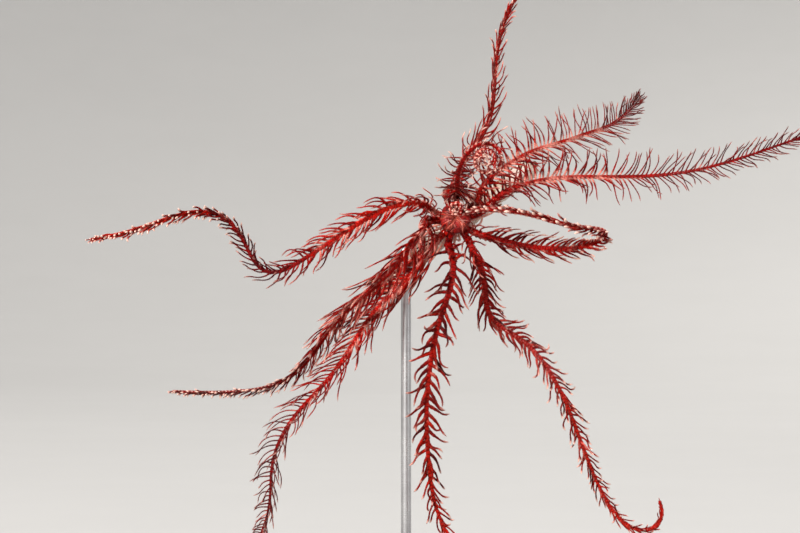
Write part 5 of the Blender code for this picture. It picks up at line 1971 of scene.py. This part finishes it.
    def _polyps(self, places: list[Triple], polyp: Material) -> Obj:
        """Sets an open polyp on some of the warts, away from the star and the ring."""
        draw, pattern, copies = random.Random(self.polyp_seed), self._polyp_pattern(), []
        for distance, turn, size in places:
            free = abs(distance) > self.bare_half and abs(distance - self.ring_place) > self.ring_half + 0.9
            inside = abs(distance) < self.half_length - 0.8
            if not (free and inside and draw.random() < self.polyp_share and size > 0.8):
                continue
            centre, run, facing, side = self.at(distance)
            out = facing * math.cos(turn) + side * math.sin(turn)
            spin = draw.uniform(0.0, math.tau)
            first = run * math.cos(spin) + np.cross(out, run) * math.sin(spin)
            frame_rows = np.array([first, np.cross(out, first), out])
            scale = draw.uniform(0.7, 1.05)
            root = centre + out * (self.radius - self.rind_inset + self.wart_height * size * 0.3)
            copies.append(root + (pattern.points * scale) @ frame_rows)
        made = Sheaf("perch_polyps")
        made.add_copies(pattern, np.array(copies))
        return made.build(polyp)

    def _core(self, core: Material) -> Obj:
        """Models the horny core's two stubs, each a turned pin with an eased end."""
        stubs = []
        for hand in (-1, 1):
            obj = cylinder(32, self.core_radius * MM, (self.core_stub + self.core_sunk) * MM)
            with editing(obj):
                pick_top(obj)
                bpy.ops.mesh.bevel(offset=0.12 * MM, segments=2)
                pick_top(obj, 0.99)
                bpy.ops.mesh.inset(thickness=0.3 * MM, depth=0.04 * MM)
                bpy.ops.mesh.inset(thickness=0.2 * MM, depth=-0.06 * MM)
            centre, run, _, _ = self.at(hand * self.half_length)
            run = run * hand
            stubs.append(lie_along(obj, run, centre + run * (self.core_stub - self.core_sunk) / 2))
        return finished(joined(*stubs), "perch_core", 40, core)


@dataclass
class Cirri:
    """The hooked cirri, each a string of small segments that ends in a claw."""

    crown: Crown
    perch: Perch
    count: int = 18
    length: float = 13.5
    root_radius: float = 0.42
    tip_radius: float = 0.26
    claw_length: float = 0.75
    segment: float = 0.78
    largest_sweep: float = math.radians(158.0)
    row_heights: Pair = (-2.75, -3.45)
    row_reaches: Pair = (2.85, 2.15)
    sunk_reach: float = 1.2
    drop: float = 0.3
    first_turn: float = 0.85
    first_run: float = 2.9
    run: float = 7.6
    hold: float = 0.26
    stand_off: float = 0.7
    steps: int = 8
    stem_reach: float = 14.0
    stem_steps: int = 57
    segment_steps: tuple[Triple, ...] = ((0.27, 0.86, 0), (0.33, 1.08, 0), (0.22, 1.24, 0), (0.1, 0.86, 0))
    claw_steps: tuple[Triple, ...] = (
        (0.25, 0.85, 0.05), (0.25, 0.75, 0.18), (0.22, 0.6, 0.3), (0.15, 0.4, 0.4),
    )

    def _path(self, number: int) -> Array:
        """Routes one cirrus from the knob to the stem and round it, gripping it."""
        turn, row = math.tau * (number + 0.5) / self.count, number % 2
        around, beside = math.cos(turn), math.sin(turn)
        reach = self.perch.radius + self.root_radius + self.hold
        sweep = max(-self.largest_sweep, min(self.largest_sweep, self.length * around / reach))
        _, run, _, side = self.perch.at(0.0)
        outward, oral = side * around + run * beside, self.crown.oral
        knob = np.array(self.crown.centre) + oral * self.row_heights[row]
        path = [knob + outward * self.sunk_reach, knob + outward * self.row_reaches[row] - oral * self.drop]
        for share in (step / self.steps for step in range(1, self.steps + 1)):
            angle = around * self.first_turn + (sweep - around * self.first_turn) * share
            centre, _, near, across = self.perch.at(beside * (self.first_run + self.run * share))
            lift = reach + self.stand_off * (1 - share) ** 2
            path.append(centre + near * (math.cos(angle) * lift) + across * (math.sin(angle) * lift))
        return np.array(path)

    def _grown(self, radius: float, steps: Sequence[Triple]) -> Pattern:
        """Models a form along Z from 0 to 1 by steps that each rise, scale and hook towards -Y."""
        obj = cylinder(8, radius, 0.1)
        with editing(obj):
            pick_top(obj)
            for rise, scale, hook in steps:
                step_out(rise, scale)
                bpy.ops.transform.translate(value=(0.0, -hook, 0.0))
        return Pattern.of(obj)

    def build(self, horn: Material) -> Obj:
        """Makes all the cirri as one piece and sets it in the frame."""
        segment, claw = self._grown(0.92, self.segment_steps), self._grown(0.9, self.claw_steps)
        rise, made = np.clip(segment.points[:, 2], 0.0, 1.0), Sheaf("cirri_grip", MARKS)
        for number in range(self.count):
            track = Track.through(self._path(number), -self.crown.oral)
            joints = np.linspace(0.0, track.length, max(6, round(track.length / self.segment)) + 1)
            for k, (start, end) in enumerate(zip(joints, joints[1:])):
                share = (start + end) / 2 / track.length
                thick = self.root_radius + (self.tip_radius - self.root_radius) * share
                marks = {"joints": (k + rise)[None], "shade": np.array([[0.35 * (1 - share)]])}
                made.add_copies(segment, self._laid(segment, track, start, end, thick)[None], marks)
            marks = {"warm": np.array([[0.9]]), "joints": np.array([[0.5]])}
            made.add_copies(claw, self._claw(claw, track)[None], marks)
        return placed(made.build(horn), Slot.CIRRI, "cirri")

    def _laid(self, pattern: Pattern, track: Track, start: float, end: float, thick: float) -> Array:
        """Lays a copy of a pattern along a stretch of a track."""
        across, up, rise = pattern.points.T[..., None]
        held = np.clip(rise, 0.0, 1.0)
        centre, tangent, normal, side = track.at(start + (end - start) * held[:, 0])
        return centre + tangent * (rise - held) * (end - start) + side * across * thick + normal * up * thick

    def _claw(self, pattern: Pattern, track: Track) -> Array:
        """Sets the claw at a cirrus' end, hooked towards the stem."""
        centre, tangent, _, _ = (v[0] for v in track.at(track.length))
        places = np.linspace(-self.stem_reach, self.stem_reach, self.stem_steps)
        line = np.array([self.perch.at(place)[0] for place in places])
        out = unit(centre - line[np.linalg.norm(line - centre, axis=1).argmin()])
        out = unit(out - tangent * out.dot(tangent))
        local = pattern.points * np.array([self.tip_radius, self.tip_radius * 0.9, self.claw_length])
        return centre + local @ np.array([np.cross(out, tangent), out, tangent])


@dataclass
class Stand:
    """The display stand: a walnut base, and a steel rod up to a ring round the stem."""

    perch: Perch
    size: Triple = (112.0, 74.0, 8.0)
    corner: float = 12.0
    corner_steps: int = 14
    edge: float = 1.2
    foot_edge: float = 0.4
    routed: tuple[Pair, ...] = ((5.0, 0.0), (0.25, -0.35), (0.5, 0.0), (0.25, 0.35))
    pad_inset: float = 2.0
    pad_height: float = 0.5
    rod_radius: float = 1.3
    foot_radius: float = 4.0
    foot_plate: float = 1.2
    foot_height: float = 2.9
    ring_length: float = 4.0
    ring_wall: float = 1.0
    gap: float = 0.3

    def ring_centre(self) -> Array:
        """Gives the centre of the ring round the stem."""
        return self.perch.at(self.perch.ring_place)[0]

    def build(self, walnut: Material, steel: Material, felt: Material) -> list[Obj]:
        """Makes the stand's pieces and sets them in the frame."""
        return [
            placed(self._base(walnut), Slot.WOOD, "stand_base"),
            placed(self._pad(felt), Slot.WOOD, "stand_base"),
            placed(self._rod(steel), Slot.METAL, "stand_rod"),
            placed(self._lining(felt), Slot.METAL, "stand_rod"),
        ]

    def _slab(self, inset: float, low: float, high: float) -> Obj:
        """Models a slab with rounded corners, drawn in from the base's outline by an inset."""
        deselect()
        bpy.ops.mesh.primitive_cube_add(size=1.0, location=(0.0, 0.0, (low + high) / 2 * MM))
        obj = bpy.context.object
        obj.scale = [(side - 2 * inset) * MM for side in self.size[:2]] + [(high - low) * MM]
        settle(obj, "slab")
        with editing(obj):
            pick_edges(obj, lambda a, b: abs(a.z - b.z) > 0.5 * (high - low) * MM)
            bpy.ops.mesh.bevel(offset=(self.corner - inset) * MM, segments=self.corner_steps)
        return obj

    def _base(self, walnut: Material) -> Obj:
        """Models the base: eased at its upper edge, with a fine routed line near it."""
        foot = self.foot_edge
        made = self._slab(0.0, foot, self.size[2])
        with editing(made):
            pick_top(made)
            for thickness, depth in self.routed:
                bpy.ops.mesh.inset(thickness=thickness * MM, depth=depth * MM)
            pick_edges(made, lambda a, b: self._on_rim(a) and self._on_rim(b))
            bpy.ops.mesh.bevel(offset=self.edge * MM, segments=5)
            pick_edges(made, lambda a, b: max(a.z, b.z) < foot * MM + NEAR)
            bpy.ops.mesh.bevel(offset=foot * MM, segments=2)
        return finished(made, "stand_base_walnut", 32, walnut)

    def _on_rim(self, point: Vector) -> bool:
        """Says whether a point lies on the outline of the base's top."""
        past = [abs(value) / MM - (side / 2 - self.corner) for value, side in zip(point.xy, self.size)]
        reach = math.hypot(*past) if min(past) > 0 else max(past)
        return point.z > self.size[2] * MM - NEAR and reach > self.corner - 0.1

    def _pad(self, felt: Material) -> Obj:
        """Models the felt under the base."""
        made = self._slab(self.pad_inset, 0.0, self.pad_height)
        with editing(made):
            pick_edges(made, lambda a, b: max(a.z, b.z) < NEAR)
            bpy.ops.mesh.bevel(offset=0.15 * MM, segments=2)
        return finished(made, "stand_base_felt", 32, felt)

    def _rod(self, steel: Material) -> Obj:
        """Models the rod with its turned foot, and the ring on its top, bored free for the stem."""
        (x, y, z), floor, plate = self.ring_centre(), self.size[2], self.foot_plate
        place = Vector((x, y, floor + plate / 2)) * MM
        rod = settle(cylinder(64, self.foot_radius * MM, plate * MM, location=place), "rod_foot")
        with editing(rod):
            pick_top(rod)
            step_out(0.35 * MM, 0.94)
            bpy.ops.mesh.inset(thickness=1.35 * MM)
            step_out(0.9 * MM, 0.93)
            step_out(0.3 * MM, 0.82)
            bpy.ops.mesh.inset(thickness=0.30 * MM)
            self._to_radius(rod)
            step_out((z - floor - self.foot_height) * MM, 1.0)
        bore = self.perch.radius + self.gap
        combine(rod, self._band(bore, self.ring_wall, self.ring_length, 0.22))
        combine(rod, self._along_stem(cylinder(64, bore * MM, 3 * self.ring_length * MM)), "DIFFERENCE")
        return finished(rod, "stand_rod_steel", 30, steel)

    def _to_radius(self, rod: Obj) -> None:
        """Scales the selected top face so that its rim has the rod's radius."""
        shape = bmesh.from_edit_mesh(rod.data)
        face = next(face for face in shape.faces if face.select)
        middle = face.calc_center_median()
        scale = self.rod_radius * MM / max((vert.co - middle).length for vert in face.verts)
        bpy.ops.transform.resize(value=(scale, scale, 1.0))

    def _along_stem(self, obj: Obj) -> Obj:
        """Turns an object that lies along Z to lie along the stem at the ring."""
        centre, run, _, _ = self.perch.at(self.perch.ring_place)
        return lie_along(obj, run, centre)

    def _band(self, inner: float, wall: float, length: float, easing: float) -> Obj:
        """Models a ring round the stem, with eased edges."""
        made = cylinder(72, (inner + wall) * MM, length * MM, end_fill_type="NOTHING")
        solid, bevel = made.modifiers.new("wall", "SOLIDIFY"), made.modifiers.new("edges", "BEVEL")
        solid.thickness, solid.offset = wall * MM, -1.0
        bevel.width, bevel.segments, bevel.limit_method = easing * MM, 3, "ANGLE"
        apply_all(made)
        return self._along_stem(made)

    def _lining(self, felt: Material) -> Obj:
        """Models the thin lining between the ring and the stem."""
        made = self._band(self.perch.radius + 0.03, self.gap - 0.04, self.ring_length + 0.5, 0.08)
        return finished(made, "stand_ring_lining", 40, felt)


@dataclass
class Studio:
    """The pale floor, the soft lights and the camera at the photograph's viewing angle, in metres.

    Each lamp has its name, its place, its size, its power in watts and its colour.
    """

    view_width: float = 0.200
    view_distance: float = 0.800
    view_centre: Pair = (-0.01375, 0.085375)
    subject_depth: float = -0.005
    sensor: float = 36.0
    floor_radius: float = 1.4
    wall_radius: float = 2.6
    wall_steps: int = 24
    sky: Colour = (0.95, 0.96, 1.0)
    sky_strength: float = 0.26
    lamps: tuple[tuple[str, Triple, float, float, Colour], ...] = (
        ("key", (-1.4, -1.9, 1.5), 0.55, 126.0, (1.0, 0.97, 0.94)),
        ("fill", (1.9, -1.4, 0.9), 1.2, 12.0, (0.95, 0.97, 1.0)),
        ("rim", (1.2, 1.9, 1.7), 0.9, 46.0, (1.0, 0.98, 0.95)),
    )

    def build(self, paper: Material) -> None:
        """Makes the stage, the lights and the camera."""
        self._floor(paper)
        for lamp in self.lamps:
            self._lamp(*lamp)
        self._sky()
        self._camera()

    def _floor(self, paper: Material) -> None:
        """Models the floor, which curves up into a low wall all round."""
        deselect()
        bpy.ops.mesh.primitive_circle_add(vertices=96, radius=self.floor_radius, fill_type="NGON")
        floor = settle(bpy.context.object, "studio_floor")
        angles = np.linspace(0.0, math.pi / 2, self.wall_steps + 1)
        rises = self.wall_radius * np.diff(1 - np.cos(angles))
        reaches = self.floor_radius + self.wall_radius * np.sin(angles)
        with editing(floor):
            pick_edges(floor, lambda a, b: True)
            for rise, scale in zip(rises, reaches[1:] / reaches[:-1]):
                bpy.ops.mesh.extrude_edges_move(TRANSFORM_OT_translate={"value": (0.0, 0.0, rise)})
                bpy.ops.transform.resize(value=(scale, scale, 1.0))
        floor.data.shade_smooth()
        floor.data.materials.append(paper)

    def _lamp(self, name: str, place: Triple, size: float, power: float, colour: Colour) -> None:
        """Adds one soft area light that faces the crown."""
        data = bpy.data.lights.new(name, "AREA")
        data.shape, data.size, data.energy, data.color = "DISK", size, power, colour
        lamp = self._linked(name, data, place)
        target = Vector((self.view_centre[0], 0.0, self.view_centre[1]))
        lamp.rotation_mode = "QUATERNION"
        lamp.rotation_quaternion = (target - Vector(place)).to_track_quat("-Z", "Y")

    def _linked(self, name: str, data: bpy.types.ID, place: Triple) -> Obj:
        """Puts an object made of its data at a place in the scene."""
        made = bpy.data.objects.new(name, data)
        made.location = place
        bpy.context.scene.collection.objects.link(made)
        return made

    def _sky(self) -> None:
        """Fills the shadows with a pale sky."""
        world = bpy.data.worlds.new("studio_air")
        world.use_nodes = True
        inputs = world.node_tree.nodes["Background"].inputs
        inputs["Color"].default_value, inputs["Strength"].default_value = (*self.sky, 1.0), self.sky_strength
        bpy.context.scene.world = world
        bpy.context.scene.view_settings.view_transform = "Standard"

    def _camera(self) -> None:
        """Sets the camera level with the photograph's centre."""
        data = bpy.data.cameras.new("camera")
        data.sensor_width, data.lens = self.sensor, self.sensor * self.view_distance / self.view_width
        data.clip_start, data.clip_end = 0.01, 20.0
        x, z = self.view_centre
        camera = self._linked("camera", data, (x, self.subject_depth - self.view_distance, z))
        camera.rotation_euler = (math.pi / 2, 0.0, 0.0)
        bpy.context.scene.camera = camera


def main() -> None:
    """Builds the model in order: the star, what it holds, the stand and the studio."""
    logging.basicConfig(level=logging.INFO, format="%(message)s")
    crown = Crown()
    arms = [Arm(number, pose, crown.arm_track(number)) for number, pose in enumerate(ARMS)]
    perch = Perch(crown)
    stand = Stand(perch)
    flesh, leather, horn = StarFlesh().material(), DiscLeather().material(), CirrusHorn().material()
    made = [StarSkin(crown, arms, flesh, leather, horn).build()]
    around = Surroundings(arms, perch, stand.ring_centre())
    made += [PinnuleCoat(arm, around).build(flesh) for arm in arms]
    made.append(Cirri(crown, perch).build(horn))
    made += perch.build(GorgonianRind().material(), PolypFlesh().material(), HornyCore().material())
    made += stand.build(SatinWalnut().material(), BrushedSteel().material(), GreyFelt().material())
    for piece in made:
        LOG.info("%s: %d faces", piece.name, len(piece.data.polygons))
    Studio().build(StudioPaper().material())


if __name__ == "__main__":
    main()
